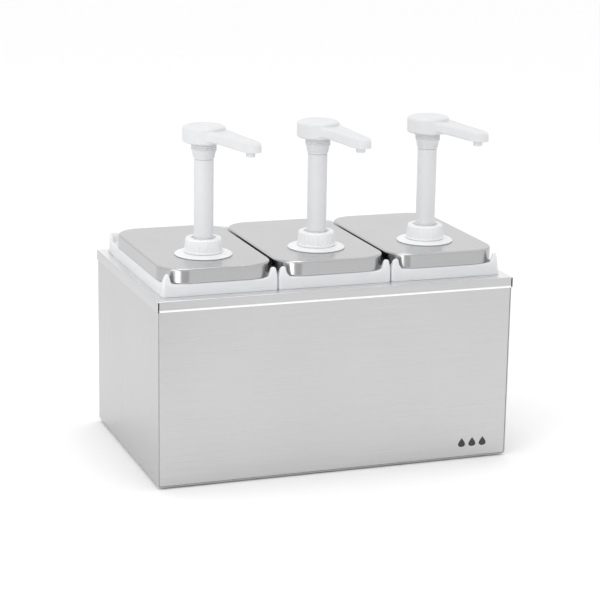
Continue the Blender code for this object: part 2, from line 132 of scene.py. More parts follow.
# Head, in millimetres from the pump's axis, with the spout along +X
HEAD_STEPS = 24
ARM_ROOT = 15.5
ARM_TOP_AT_ROOT = 369.2
ARM_TOP_FALL = 0.17                  # fall of the arm's top for each millimetre of reach
ARM_FOOT_AT_ROOT = 357.6
ARM_FOOT_FALL = 0.184
ARM_FOOT_LOWEST = 350.3

# Finishes and light
LID_TONE = (0.545, 0.545, 0.55)
LID_ROUGHNESS = 0.24
SKIRT_ROUGHNESS = 0.13
LIGHT_OF_SURROUNDINGS = 1.02
CARD_TONE = (0.6, 0.6, 0.6, 1.0)
FLOOR_TONE = (0.965, 0.965, 0.965, 1.0)


# Outlines, rings and solids ----------------------------------------------------------------

def end_shares(length, reach, step, middle_parts=6):
    """Shares along a side with points every step within reach of both ends."""
    count = round(reach / step)
    near = [(i + 1) * step / length for i in range(count)]
    gap = 1 - 2 * near[-1]
    middle = [near[-1] + gap * i / middle_parts for i in range(1, middle_parts)]
    return near + middle + [1 - share for share in reversed(near)]


def rounded_outline(width, depth, corner, centre, corner_steps, shares):
    """Points of a rounded rectangle, counter-clockwise: each corner's arc, then the side after it."""
    corners = []
    for side_x, side_y in ((1, 1), (-1, 1), (-1, -1), (1, -1)):
        corners.append(Vector((centre[0] + side_x * (width / 2 - corner),
                               centre[1] + side_y * (depth / 2 - corner))))
    points = []
    for quarter in range(4):
        for step in range(corner_steps + 1):
            angle = (quarter + step / corner_steps) * math.pi / 2
            points.append(corners[quarter] + corner * Vector((math.cos(angle), math.sin(angle))))
        reach = points[-1] - corners[quarter]
        following = corners[(quarter + 1) % 4] + reach
        points.extend(points[-1].lerp(following, share) for share in shares)
    return points


def level_ring(outline, z):
    return [Vector((x, y, z)) for x, y in outline]


def circle_ring(radius, z, points=TURN_STEPS):
    angles = [2 * math.pi * i / points for i in range(points)]
    return [Vector((radius * math.cos(a), radius * math.sin(a), z)) for a in angles]


def hexagon_ring(half_flat, z, corner=0.06):
    """A hexagon with slightly rounded corners, with as many points as a turned ring."""
    ring = []
    for i in range(TURN_STEPS):
        angle = 2 * math.pi * i / TURN_STEPS
        from_flat = (angle + math.pi / 6) % (math.pi / 3) - math.pi / 6
        radius = min(half_flat / math.cos(from_flat), half_flat * (1.155 - corner))
        ring.append(Vector((radius * math.cos(angle), radius * math.sin(angle), z)))
    return ring


def loft(rings, closed=False):
    """Joins rings of equal length by quads: with flat ends, or closed on itself like a tyre."""
    bm = bmesh.new()
    rows = [[bm.verts.new(point) for point in ring] for ring in rings]
    count = len(rows[0])
    pairs = list(zip(rows, rows[1:]))
    if closed:
        pairs.append((rows[-1], rows[0]))
    for lower, upper in pairs:
        for i in range(count):
            j = (i + 1) % count
            bm.faces.new((lower[i], lower[j], upper[j], upper[i]))
    if not closed:
        bm.faces.new(rows[0])
        bm.faces.new(rows[-1])
    bmesh.ops.recalc_face_normals(bm, faces=bm.faces)
    return bm


def softened(corners, steps=4):
    """A closed profile whose corners become arcs. A corner's third number is its own radius."""
    path = []
    for i, corner in enumerate(corners):
        here = Vector(corner[:2])
        before = Vector(corners[i - 1][:2]) - here
        after = Vector(corners[(i + 1) % len(corners)][:2]) - here
        half = before.angle(after) / 2
        if half > math.radians(86):
            path.append(here)
            continue
        wanted = corner[2] if len(corner) > 2 else EDGE
        cut = min(wanted / math.tan(half), 0.45 * min(before.length, after.length))
        start = before.normalized() * cut
        bisector = (before.normalized() + after.normalized()).normalized()
        middle = bisector * (cut / math.cos(half))
        spoke = start - middle
        sweep = (math.pi - 2 * half) * (1 if spoke.cross(-middle) > 0 else -1)
        for step in range(steps + 1):
            path.append(here + middle + Matrix.Rotation(sweep * step / steps, 2) @ spoke)
    return path


def turned(corners):
    """A ring turned about Z from a closed profile of (radius, z) in millimetres."""
    return loft([circle_ring(radius * MM, z * MM) for radius, z in softened(corners)], closed=True)


# From shapes to pieces ---------------------------------------------------------------------

def to_mesh(bm, name, place=None):
    mesh = bpy.data.meshes.new(name)
    bm.to_mesh(mesh)
    bm.free()
    if place is not None:
        mesh.transform(place)
    return mesh


def add_piece(name, mesh, finish, body, node, sharp=35):
    """Links a mesh that is already in place, rides it on its body and lets it stand for its node."""
    mesh.materials.clear()
    mesh.materials.append(finish)
    mesh.shade_smooth()
    mesh.set_sharp_from_angle(angle=math.radians(sharp))
    piece = bpy.data.objects.new(name, mesh)
    bpy.context.scene.collection.objects.link(piece)
    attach(piece, body)
    if node:
        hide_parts(node)
    return piece


def fine_edges(piece, width):
    """A fine bevel on the cut edges, with the shading of the flat faces kept flat."""
    bevel = piece.modifiers.new("cut_edges", 'BEVEL')
    bevel.width = width
    bevel.segments = 2
    bevel.limit_method = 'ANGLE'
    bevel.angle_limit = math.radians(50)
    keep_flat_faces(piece)


def keep_flat_faces(piece):
    flat = piece.modifiers.new("flat_faces", 'WEIGHTED_NORMAL')
    flat.keep_sharp = True


def cut_out(name, body_mesh, cutters):
    """Cuts closed bmesh shapes out of a mesh and gives the mesh that is left."""
    body = bpy.data.objects.new(name + "_blank", body_mesh)
    bpy.context.scene.collection.objects.link(body)
    helpers = [body]
    for number, cutter in enumerate(cutters):
        tool = bpy.data.objects.new(f"{name}_cutter_{number}", to_mesh(cutter, f"{name}_cutter"))
        bpy.context.scene.collection.objects.link(tool)
        cut = body.modifiers.new(f"cut_{number}", 'BOOLEAN')
        cut.operation = 'DIFFERENCE'
        cut.solver = 'EXACT'
        cut.object = tool
        helpers.append(tool)
    evaluated = body.evaluated_get(bpy.context.evaluated_depsgraph_get())
    mesh = bpy.data.meshes.new_from_object(evaluated)
    mesh.name = name
    for helper in helpers:
        bpy.data.objects.remove(helper, do_unlink=True)
    return mesh


def box_shape(low, high):
    bm = bmesh.new()
    size = [b - a for a, b in zip(low, high)]
    middle = [(a + b) / 2 for a, b in zip(low, high)]
    place = Matrix.Translation(middle) @ Matrix.Diagonal((*size, 1.0))
    bmesh.ops.create_cube(bm, size=1.0, matrix=place)
    return bm


# Cabinet -----------------------------------------------------------------------------------

def build_wrapper(steel):
    """One sheet bent into a U: left side, bottom and right side."""
    low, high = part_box("cabinet_wrapper")
    bend_steps = 12

    def path(inset):
        radius = WRAP_BEND - inset
        points = [(low.x + inset, high.z)]
        for side, edge in ((-1, low.x), (1, high.x)):
            centre = (edge - side * WRAP_BEND, low.z + WRAP_BEND)
            for step in range(bend_steps + 1):
                share = step if side < 0 else bend_steps - step
                angle = share * math.pi / 2 / bend_steps
                points.append((centre[0] + side * radius * math.cos(angle),
                               centre[1] - radius * math.sin(angle)))
        points.append((high.x - inset, high.z))
        return points

    section = path(0.0) + list(reversed(path(SHEET)))
    rings = [[Vector((x, y, z)) for x, z in section] for y in (low.y, high.y)]
    notches = []
    for x in (low.x, high.x):
        for y in (low.y, high.y):
            notches.append(box_shape((x - 2 * SHEET, y - NOTCH_DEPTH, high.z - NOTCH_HEIGHT),
                                     (x + 2 * SHEET, y + NOTCH_DEPTH, high.z + SHEET)))
    mesh = cut_out("steel_wrapper", to_mesh(loft(rings), "wrapper_blank"), notches)
    piece = add_piece("steel_wrapper", mesh, steel, "cabinet", "cabinet_wrapper")
    fine_edges(piece, FINE_EDGE)


def build_end_panel(name, node, side, steel):
    """A shallow pan between the sides, its face turned back all round; side is -1 for the front."""
    low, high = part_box(node)
    face = low.y if side < 0 else high.y
    centre = ((low.x + high.x) / 2, (low.z + high.z) / 2)
    width, height = high.x - low.x + 2 * PANEL_OVERLAP, high.z - low.z + 2 * PANEL_OVERLAP
    shares = (0.01, 0.5, 0.99)

    def ring(inset, depth):
        corner = max(PANEL_CORNER - inset, 0.5 * MM)
        outline = rounded_outline(width - 2 * inset, height - 2 * inset, corner, centre, 6, shares)
        return [Vector((x, face - side * depth, z)) for x, z in outline]

    rings = [ring(PANEL_EDGE + 2 * MM, 0.0)]
    bend_steps = 8
    for step in range(bend_steps + 1):
        angle = step * math.pi / 2 / bend_steps
        rings.append(ring(PANEL_EDGE * (1 - math.sin(angle)), PANEL_EDGE * (1 - math.cos(angle))))
    rings += [ring(0.0, PANEL_FLANGE), ring(SHEET, PANEL_FLANGE), ring(SHEET, 2 * SHEET),
              ring(1.6 * SHEET, SHEET)]
    mesh = to_mesh(loft(rings), name)
    piece = add_piece(name, mesh, steel, "cabinet", node)
    keep_flat_faces(piece)


def build_top_frame(steel):
    """A plate with three openings. Its edge turns down into a lip with a rolled hem."""
    low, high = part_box("top_frame")
    width, depth = high.x - low.x, high.y - low.y

    def ring(inset, z):
        corner = max(1.0 * MM - inset, 0.3 * MM)
        outline = rounded_outline(width - 2 * inset, depth - 2 * inset, corner, (0.0, 0.0), 4,
                                  (0.02, 0.5, 0.98))
        return level_ring(outline, z)

    bend_steps = 8
    rings = [ring(LIP_BEND + 1 * MM, high.z)]
    for step in range(bend_steps + 1):
        angle = step * math.pi / 2 / bend_steps
        rings.append(ring(LIP_BEND * (1 - math.sin(angle)), high.z - LIP_BEND * (1 - math.cos(angle))))
    hem_steps = 8
    for step in range(hem_steps + 1):
        angle = step * math.pi / 2 / hem_steps
        rings.append(ring(0.85 * LIP_SHEET * (1 - math.cos(angle)),
                          low.z + LIP_HEM * (1 - math.sin(angle))))
    rings += [ring(LIP_SHEET, low.z + 0.1 * MM), ring(LIP_SHEET, high.z - 1.4 * SHEET),
              ring(LIP_SHEET + 0.4 * MM, high.z - SHEET)]
    cutters = []
    for station in STATIONS:
        centre = (mouth_centre(station).x, mouth_centre(station).y)
        outline = rounded_outline(MOUTH_WIDTH + 2 * TUB_CLEARANCE, MOUTH_DEPTH + 2 * TUB_CLEARANCE,
                                  MOUTH_CORNER + TUB_CLEARANCE, centre, 14, (0.5,))
        cutters.append(loft([level_ring(outline, high.z - 4 * SHEET),
                             level_ring(outline, high.z + SHEET)]))
    for side_x in (-1, 1):
        for side_y in (-1, 1):
            xs = sorted(side_x * (width / 2 - inset) for inset in (LIP_SHEET, LIP_SHEET + SLIT_WIDTH))
            ys = sorted(side_y * (depth / 2 + shift) for shift in (SHEET, -1.4 * LIP_SHEET))
            cutters.append(box_shape((xs[0], ys[0], low.z - SHEET),
                                     (xs[1], ys[1], high.z - SLIT_BELOW_TOP)))
    mesh = cut_out("steel_top_frame", to_mesh(loft(rings), "top_frame_blank"), cutters)
    piece = add_piece("steel_top_frame", mesh, steel, "cabinet", "top_frame")
    keep_flat_faces(piece)


def build_hem(end, side, steel):
    """Bead that stiffens the lower edge of the lip, in near-white steel as a painted highlight; side is -1
    for the front.
    """
    low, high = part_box("top_frame")
    face = low.y if side < 0 else high.y
    half_length = (high.x - low.x) / 2 - LIP_SHEET - SLIT_WIDTH
    bead_steps = 10
    section = []
    for step in range(bead_steps + 1):
        angle = math.pi * step / bead_steps
        section.append((face + side * HEM_RISE * math.sin(angle),
                        low.z + HEM_HEIGHT * (1 - math.cos(angle)) / 2))
    section.append((face - side * HEM_SUNK, low.z + HEM_HEIGHT))
    section.append((face - side * HEM_SUNK, low.z))
    rings = [[Vector((x, y, z)) for y, z in section] for x in (-half_length, half_length)]
    mesh = to_mesh(loft(rings), f"steel_{end}_hem")
    piece = add_piece(f"steel_{end}_hem", mesh, steel, "cabinet", None)
    keep_flat_faces(piece)


def build_feet(rubber):
    """Low rubber discs under the bottom, with a worn-in rounding at the rim."""
    for end in ("front", "back"):
        for side in ("left", "right"):
            node = f"foot_{end}_{side}"
            low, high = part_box(node)
            radius, height, worn = (high.x - low.x) / 2, high.z - low.z, 0.5 * MM
            rings = [circle_ring(radius - worn, 0.0), circle_ring(radius - 0.3 * worn, 0.3 * worn),
                     circle_ring(radius, worn), circle_ring(radius, height)]
            place = Matrix.Translation(((low.x + high.x) / 2, (low.y + high.y) / 2, low.z))
            mesh = to_mesh(loft(rings), node, place)
            add_piece(f"rubber_{node}", mesh, rubber, "cabinet", node)


def build_drop_mark(ink):
    """Three plain printed drops, low on the right of the front panel."""
    low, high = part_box("front_panel")
    middle = Vector((high.x - DROPS_FROM_RIGHT, low.y, low.z + DROPS_ABOVE_FOOT))
    steps = 48
    bm = bmesh.new()
    for drop in (-1, 0, 1):
        outline = []
        for i in range(steps):
            t = 2 * math.pi * i / steps
            across = 1.15 * math.sin(t) * math.sin(t / 2) ** 1.5
            outline.append((middle.x + drop * DROP_PITCH + DROP_HALF_HEIGHT * across,
                            middle.z + DROP_HALF_HEIGHT * math.cos(t)))
        front = [bm.verts.new((x, middle.y - INK_FILM, z)) for x, z in outline]
        back = [bm.verts.new((x, middle.y + INK_FILM, z)) for x, z in outline]
        bm.faces.new(front)
        bm.faces.new(back)
        for i in range(steps):
            j = (i + 1) % steps
            bm.faces.new((front[i], front[j], back[j], back[i]))
    bmesh.ops.recalc_face_normals(bm, faces=bm.faces)
    add_piece("printed_drops", to_mesh(bm, "printed_drops"), ink, "cabinet", None)


# Container and lid -------------------------------------------------------------------------

def mouth_centre(station):
    """Centre of a container's mouth, which stands centred under its lid."""
    low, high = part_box(f"lid_{station}")
    return Vector(((low.x + high.x) / 2, (low.y + high.y) / 2 + 0.5 * MM, high.z))


def build_container(station, plastic):
    """A deep tub with a wide hollow rim band, an upstand inside the lid, and corner ears."""
    low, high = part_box(f"container_{station}")
    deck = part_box(f"lid_{station}")[0].z - DECK_BELOW_LID
    band_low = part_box("top_frame")[1].z + 0.1 * MM
    width, depth = high.x - low.x, high.y - low.y
    centre = ((low.x + high.x) / 2, (low.y + high.y) / 2)
    mouth = mouth_centre(station)
    ear_height = 1.07 * (high.z - deck)
    shares = end_shares(width, 18 * MM, 1.0 * MM)
    corner_steps = 10

    left_flare = BAND_FLARE if station == STATIONS[0] else NEIGHBOUR_FLARE
    right_flare = BAND_FLARE if station == STATIONS[-1] else NEIGHBOUR_FLARE

    def band(inset, flare=0.0):
        """Outline of the rim band, drawn in by an inset and by a share of the flare."""
        corner = max(BAND_CORNER - inset - flare * BAND_FLARE, 1.5 * MM)
        left, right = inset + flare * left_flare, inset + flare * right_flare
        across = (centre[0] + (left - right) / 2, centre[1])
        return rounded_outline(width - left - right, depth - 2 * (inset + flare * BAND_FLARE), corner,
                               across, corner_steps, shares)

    def tub(inset):
        return rounded_outline(MOUTH_WIDTH - 2 * inset, MOUTH_DEPTH - 2 * inset, MOUTH_CORNER - inset,
                               (mouth.x, mouth.y), corner_steps, shares)

    def ear_shares(point):
        """Shares of the front and the back ears at a point: 1 on an ear and 0 away from it."""
        inward = max(width / 2 - BAND_FLARE - abs(point.x - centre[0]), 0.0)
        from_front = max(point.y - (low.y + BAND_FLARE), 0.0)
        from_back = max((high.y - BAND_FLARE) - point.y, 0.0)
        front = 1 / (1 + (inward / EAR_WIDTH) ** 6) / (1 + (from_front / EAR_DEPTH) ** 5)
        back = 1 / (1 + (inward / BACK_EAR_WIDTH) ** 14) / (1 + (from_back / BACK_EAR_DEPTH) ** 8)
        return front, back

    def deck_height(point, inset):
        """Height of the deck with its ears at a point that lies inset from the band's upper edge."""
        front, back = ear_shares(point)
        edge = DECK_EDGE + EAR_EDGE * front
        fall = edge - math.sqrt(edge ** 2 - (edge - inset) ** 2) if inset < edge else 0.0
        return deck + ear_height * front + BACK_EAR_HEIGHT * back - fall

    def leaned(x, y, z):
        """A point of the rim, moved sideways where it is on a front ear."""
        lean = EAR_LEAN * max(z - deck, 0.0) if y < centre[1] else 0.0
        return Vector((x - math.copysign(lean, x - centre[0]), y, z))

    def deck_ring(outline, inset):
        return [leaned(point.x, point.y, deck_height(point, inset)) for point in outline]

    floor_steps = 6
    rings = []
    for step in range(floor_steps + 1):        # outer rounding of the floor
        angle = step * math.pi / 2 / floor_steps
        rings.append(level_ring(tub(TUB_TAPER + TUB_FLOOR_RADIUS * (1 - math.sin(angle))),
                                low.z + TUB_FLOOR_RADIUS * (1 - math.cos(angle))))
    under_deck = deck - 1.1 * BAND_WALL
    rings += [level_ring(tub(0.0), under_deck - 2 * MM),
              level_ring(tub(-1 * MM), under_deck),
              level_ring(band(BAND_WALL, 1.0), under_deck),
              level_ring(band(BAND_WALL), band_low + 0.2 * MM),
              level_ring(band(BAND_WALL - 0.3 * MM), band_low),
              level_ring(band(0.2 * MM), band_low),
              level_ring(band(0.05 * MM), band_low + 0.1 * MM)]
    top_outline = band(0.0, 1.0)
    wall_top = [Vector((point.x, point.y, deck_height(point, 0.0))) for point in top_outline]
    wall_bottom = level_ring(band(0.0), band_low + 0.5 * MM)
    wall_rows = 9
    for row in range(wall_rows):
        ring = []
        for foot, head in zip(wall_bottom, wall_top):
            z = foot.z + (head.z - foot.z) * row / wall_rows
            to_deck = min((z - band_low) / (deck - band_low), 1.0)
            point = foot.lerp(head, 1 - (1 - to_deck) ** 2)
            ring.append(leaned(point.x, point.y, z))
        rings.append(ring)
    for inset in (0.0, 0.15, 0.4, 0.8, 1.3, 1.9, 2.6, 3.4):
        rings.append(deck_ring(band(inset * MM, 1.0), inset * MM))
    inner = band(3.4 * MM, 1.0)
    mouth_outline = tub(-0.6 * MM)
    deck_steps = 12
    for step in range(1, deck_steps + 1):
        outline = [a.lerp(b, step / deck_steps) for a, b in zip(inner, mouth_outline)]
        rings.append(deck_ring(outline, 1.0))
    top = deck + MOUTH_RISE
    rings += [level_ring(tub(0.0), deck + 0.6 * MM),
              level_ring(tub(0.0), top - 0.7 * MM), level_ring(tub(0.2 * MM), top - 0.2 * MM),
              level_ring(tub(0.7 * MM), top), level_ring(tub(BAND_WALL - 0.7 * MM), top),
              level_ring(tub(BAND_WALL - 0.2 * MM), top - 0.2 * MM),
              level_ring(tub(BAND_WALL), top - 0.7 * MM)]
    inside = TUB_FLOOR_RADIUS - BAND_WALL
    for step in range(floor_steps + 1):        # inner rounding of the floor
        angle = step * math.pi / 2 / floor_steps
        rings.append(level_ring(tub(TUB_TAPER + BAND_WALL + inside * (1 - math.cos(angle))),
                                low.z + 1.1 * BAND_WALL + inside * (1 - math.sin(angle))))
    mesh = to_mesh(loft(rings), f"{station}_container")
    add_piece(f"{station}_container", mesh, plastic, f"container_{station}", f"container_{station}",
              sharp=50)


def build_lid(station, steel):
    """A pressed lid: flat top with a round edge, straight skirt, and the hole for its pump."""
    low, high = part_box(f"lid_{station}")
    width, depth = high.x - low.x, high.y - low.y
    centre = ((low.x + high.x) / 2, (low.y + high.y) / 2)
    axis = Vector(pump_axis(station)[:2])
    shares = (0.02, 0.2, 0.4, 0.6, 0.8, 0.98)

    def ring(inset, z):
        outline = rounded_outline(width - 2 * inset, depth - 2 * inset, LID_CORNER - inset, centre,
                                  24, shares)
        return level_ring(outline, z)

    def hole_ring(radius, z):
        spokes = [(Vector(point[:2]) - axis).normalized() for point in ring(LID_EDGE, z)]
        return level_ring([axis + radius * spoke for spoke in spokes], z)

    edge_steps = 8
    under = high.z - LID_SHEET
    rings = [ring(0.8 * LID_SHEET, low.z), ring(0.2 * LID_SHEET, low.z), ring(0.0, low.z + 0.25 * MM),
             ring(0.0, low.z + 1.5 * MM)]
    for step in range(edge_steps + 1):
        angle = step * math.pi / 2 / edge_steps
        rings.append(ring(LID_EDGE * (1 - math.cos(angle)), high.z - LID_EDGE * (1 - math.sin(angle))))
    rings += [ring(LID_EDGE + 1.5 * MM, high.z), hole_ring(LID_HOLE + 2 * MM, high.z),
              hole_ring(LID_HOLE + 0.2 * MM, high.z), hole_ring(LID_HOLE, high.z - 0.2 * MM),
              hole_ring(LID_HOLE, under + 0.2 * MM), hole_ring(LID_HOLE + 0.2 * MM, under),
              ring(LID_EDGE + 1.5 * MM, under)]
    inner = LID_EDGE - LID_SHEET
    for step in range(edge_steps + 1):
        angle = step * math.pi / 2 / edge_steps
        rings.append(ring(LID_EDGE - inner * math.sin(angle), under - inner * (1 - math.cos(angle))))
    rings.append(ring(LID_SHEET, low.z + 0.25 * MM))
    mesh = to_mesh(loft(rings, closed=True), f"{station}_lid")
    piece = add_piece(f"{station}_lid", mesh, steel, f"lid_{station}", f"lid_{station}")
    keep_flat_faces(piece)


# Geometry node trees for what repeats or winds ---------------------------------------------

def add_socket(tree, name, kind, value=None):
    socket = tree.interface.new_socket(name=name, in_out='INPUT', socket_type=kind)
    if value is not None:
        socket.default_value = value


def coil_tree():
    """A round wire wound into a helix, with an optional level stretch at each end."""
    tree = bpy.data.node_groups.new("Wound coil", 'GeometryNodeTree')
    add_socket(tree, "Turns", 'NodeSocketFloat', 6.0)
    add_socket(tree, "Radius", 'NodeSocketFloat', 0.01)
    add_socket(tree, "Top Radius", 'NodeSocketFloat', 0.01)
    add_socket(tree, "Rise", 'NodeSocketFloat', 0.1)
    add_socket(tree, "Wire Radius", 'NodeSocketFloat', 0.001)
    add_socket(tree, "Points Per Turn", 'NodeSocketInt', 48)
    add_socket(tree, "Level Share", 'NodeSocketFloat', 0.0)
    add_socket(tree, "Material", 'NodeSocketMaterial')
    tree.interface.new_socket(name="Geometry", in_out='OUTPUT', socket_type='NodeSocketGeometry')
    nodes, links = tree.nodes, tree.links

    sizes = nodes.new("NodeGroupInput")
    sizes.label = "Coil sizes"
    turns_up = nodes.new("ShaderNodeMath")
    turns_up.label = "Whole turns for the point count"
    turns_up.operation = 'CEIL'
    winding = nodes.new("GeometryNodeCurveSpiral")
    winding.label = "Flat winding"
    winding.inputs["Height"].default_value = 0.0
    along = nodes.new("GeometryNodeSplineParameter")
    along.label = "Place along the wire"
    far_level = nodes.new("ShaderNodeMath")
    far_level.label = "Where the top coil levels out"
    far_level.operation = 'SUBTRACT'
    far_level.inputs[0].default_value = 1.0
    climb = nodes.new("ShaderNodeMapRange")
    climb.label = "Climb between the level ends"
    lift = nodes.new("ShaderNodeCombineXYZ")
    lift.label = "Lift along the axis"
    raised = nodes.new("GeometryNodeSetPosition")
    raised.label = "Wound up the axis"
    section = nodes.new("GeometryNodeCurvePrimitiveCircle")
    section.label = "Wire section"
    section.inputs["Resolution"].default_value = 10
    wire = nodes.new("GeometryNodeCurveToMesh")
    wire.label = "Round wire"
    wire.inputs["Fill Caps"].default_value = True
    real = nodes.new("GeometryNodeRealizeInstances")
    real.label = "Plain mesh"
    finish = nodes.new("GeometryNodeSetMaterial")
    finish.label = "Wire finish"
    result = nodes.new("NodeGroupOutput")
    result.label = "Finished coil"
    row = (sizes, turns_up, winding, along, far_level, climb, lift, raised, section, wire, real,
           finish, result)
    for column, node in enumerate(row):
        node.location = (column * 200 - 1200, -180 * (column % 2))

    links.new(sizes.outputs["Turns"], turns_up.inputs[0])
    links.new(sizes.outputs["Points Per Turn"], winding.inputs["Resolution"])
    links.new(sizes.outputs["Turns"], winding.inputs["Rotations"])
    links.new(sizes.outputs["Radius"], winding.inputs["Start Radius"])
    links.new(sizes.outputs["Top Radius"], winding.inputs["End Radius"])
    links.new(sizes.outputs["Level Share"], far_level.inputs[1])
    links.new(along.outputs["Factor"], climb.inputs["Value"])
    links.new(sizes.outputs["Level Share"], climb.inputs["From Min"])
    links.new(far_level.outputs["Value"], climb.inputs["From Max"])
    links.new(sizes.outputs["Rise"], climb.inputs["To Max"])
    links.new(climb.outputs["Result"], lift.inputs["Z"])
    links.new(winding.outputs["Curve"], raised.inputs["Geometry"])
    links.new(lift.outputs["Vector"], raised.inputs["Offset"])
    links.new(sizes.outputs["Wire Radius"], section.inputs["Radius"])
    links.new(raised.outputs["Geometry"], wire.inputs["Curve"])
    links.new(section.outputs["Curve"], wire.inputs["Profile Curve"])
    links.new(wire.outputs["Mesh"], real.inputs["Geometry"])
    links.new(real.outputs["Geometry"], finish.inputs["Geometry"])
    links.new(sizes.outputs["Material"], finish.inputs["Material"])
    links.new(finish.outputs["Geometry"], result.inputs["Geometry"])
    return tree


def grip_tree():
    """Upright grip ribs that lean in with the taper of a nut, spaced evenly around it."""
    tree = bpy.data.node_groups.new("Grip ribs", 'GeometryNodeTree')
    add_socket(tree, "Count", 'NodeSocketInt', 48)
    add_socket(tree, "Foot Radius", 'NodeSocketFloat', 0.02)
    add_socket(tree, "Rib Height", 'NodeSocketFloat', 0.01)
    add_socket(tree, "Rib Radius", 'NodeSocketFloat', 0.0006)
    add_socket(tree, "Lean", 'NodeSocketFloat', 0.1)
    add_socket(tree, "Material", 'NodeSocketMaterial')
    tree.interface.new_socket(name="Geometry", in_out='OUTPUT', socket_type='NodeSocketGeometry')
    nodes, links = tree.nodes, tree.links

    sizes = nodes.new("NodeGroupInput")
    sizes.label = "Grip sizes"
    feet = nodes.new("GeometryNodeMeshCircle")
    feet.label = "Foot of each rib"
    rib = nodes.new("GeometryNodeMeshCone")
    rib.label = "One rib"
    rib.inputs["Vertices"].default_value = 10
    slimmer = nodes.new("ShaderNodeMath")
    slimmer.label = "Upper end is slimmer"
    slimmer.operation = 'MULTIPLY'
    slimmer.inputs[1].default_value = 0.7
    number = nodes.new("GeometryNodeInputIndex")
    number.label = "Number of the rib"
    share = nodes.new("ShaderNodeMath")
    share.label = "Share of a full turn"
    share.operation = 'DIVIDE'
    bearing = nodes.new("ShaderNodeMath")
    bearing.label = "Bearing of the rib"
    bearing.operation = 'MULTIPLY'
    bearing.inputs[1].default_value = 2 * math.pi
    stance = nodes.new("ShaderNodeCombineXYZ")
    stance.label = "Lean and bearing"
    ribs = nodes.new("GeometryNodeInstanceOnPoints")
    ribs.label = "Ribs around the nut"
    real = nodes.new("GeometryNodeRealizeInstances")
    real.label = "Plain mesh"
    finish = nodes.new("GeometryNodeSetMaterial")
    finish.label = "Nut plastic"
    result = nodes.new("NodeGroupOutput")
    result.label = "Finished grip"
    row = (sizes, feet, rib, slimmer, number, share, bearing, stance, ribs, real, finish, result)
    for column, node in enumerate(row):
        node.location = (column * 200 - 1100, -180 * (column % 2))

    links.new(sizes.outputs["Count"], feet.inputs["Vertices"])
    links.new(sizes.outputs["Foot Radius"], feet.inputs["Radius"])
    links.new(sizes.outputs["Rib Radius"], rib.inputs["Radius Bottom"])
    links.new(sizes.outputs["Rib Radius"], slimmer.inputs[0])
    links.new(slimmer.outputs["Value"], rib.inputs["Radius Top"])
    links.new(sizes.outputs["Rib Height"], rib.inputs["Depth"])
    links.new(number.outputs["Index"], share.inputs[0])
    links.new(sizes.outputs["Count"], share.inputs[1])
    links.new(share.outputs["Value"], bearing.inputs[0])
    links.new(sizes.outputs["Lean"], stance.inputs["Y"])
    links.new(bearing.outputs["Value"], stance.inputs["Z"])
    links.new(feet.outputs["Mesh"], ribs.inputs["Points"])
    links.new(rib.outputs["Mesh"], ribs.inputs["Instance"])
    links.new(stance.outputs["Vector"], ribs.inputs["Rotation"])
    links.new(ribs.outputs["Instances"], real.inputs["Geometry"])
    links.new(real.outputs["Geometry"], finish.inputs["Geometry"])
    links.new(sizes.outputs["Material"], finish.inputs["Material"])
    links.new(finish.outputs["Geometry"], result.inputs["Geometry"])
    return tree


def mesh_from_tree(name, tree, sizes, place):
    """Runs a geometry node tree with these named sizes and gives its result as a plain mesh."""
    holder = bpy.data.objects.new(name + "_maker", bpy.data.meshes.new(name + "_maker"))
    bpy.context.scene.collection.objects.link(holder)
    maker = holder.modifiers.new("maker", 'NODES')
    maker.node_group = tree
    identifiers = {item.name: item.identifier for item in tree.interface.items_tree
                   if item.item_type == 'SOCKET' and item.in_out == 'INPUT'}
    for size, value in sizes.items():
        maker[identifiers[size]] = value
    evaluated = holder.evaluated_get(bpy.context.evaluated_depsgraph_get())
    mesh = bpy.data.meshes.new_from_object(evaluated)
    mesh.name = name
    mesh.transform(place)
    bpy.data.objects.remove(holder, do_unlink=True)
    return mesh


# Pump --------------------------------------------------------------------------------------

def pump_axis(station):
    """A point on the axis that one pump presses and swivels about."""
    for joint in frame["joints"]:
        if joint["name"] == f"spout_swivel_{station}":
            return Vector(joint["pos_m"])
    raise ValueError(f"no swivel joint at the {station} station")


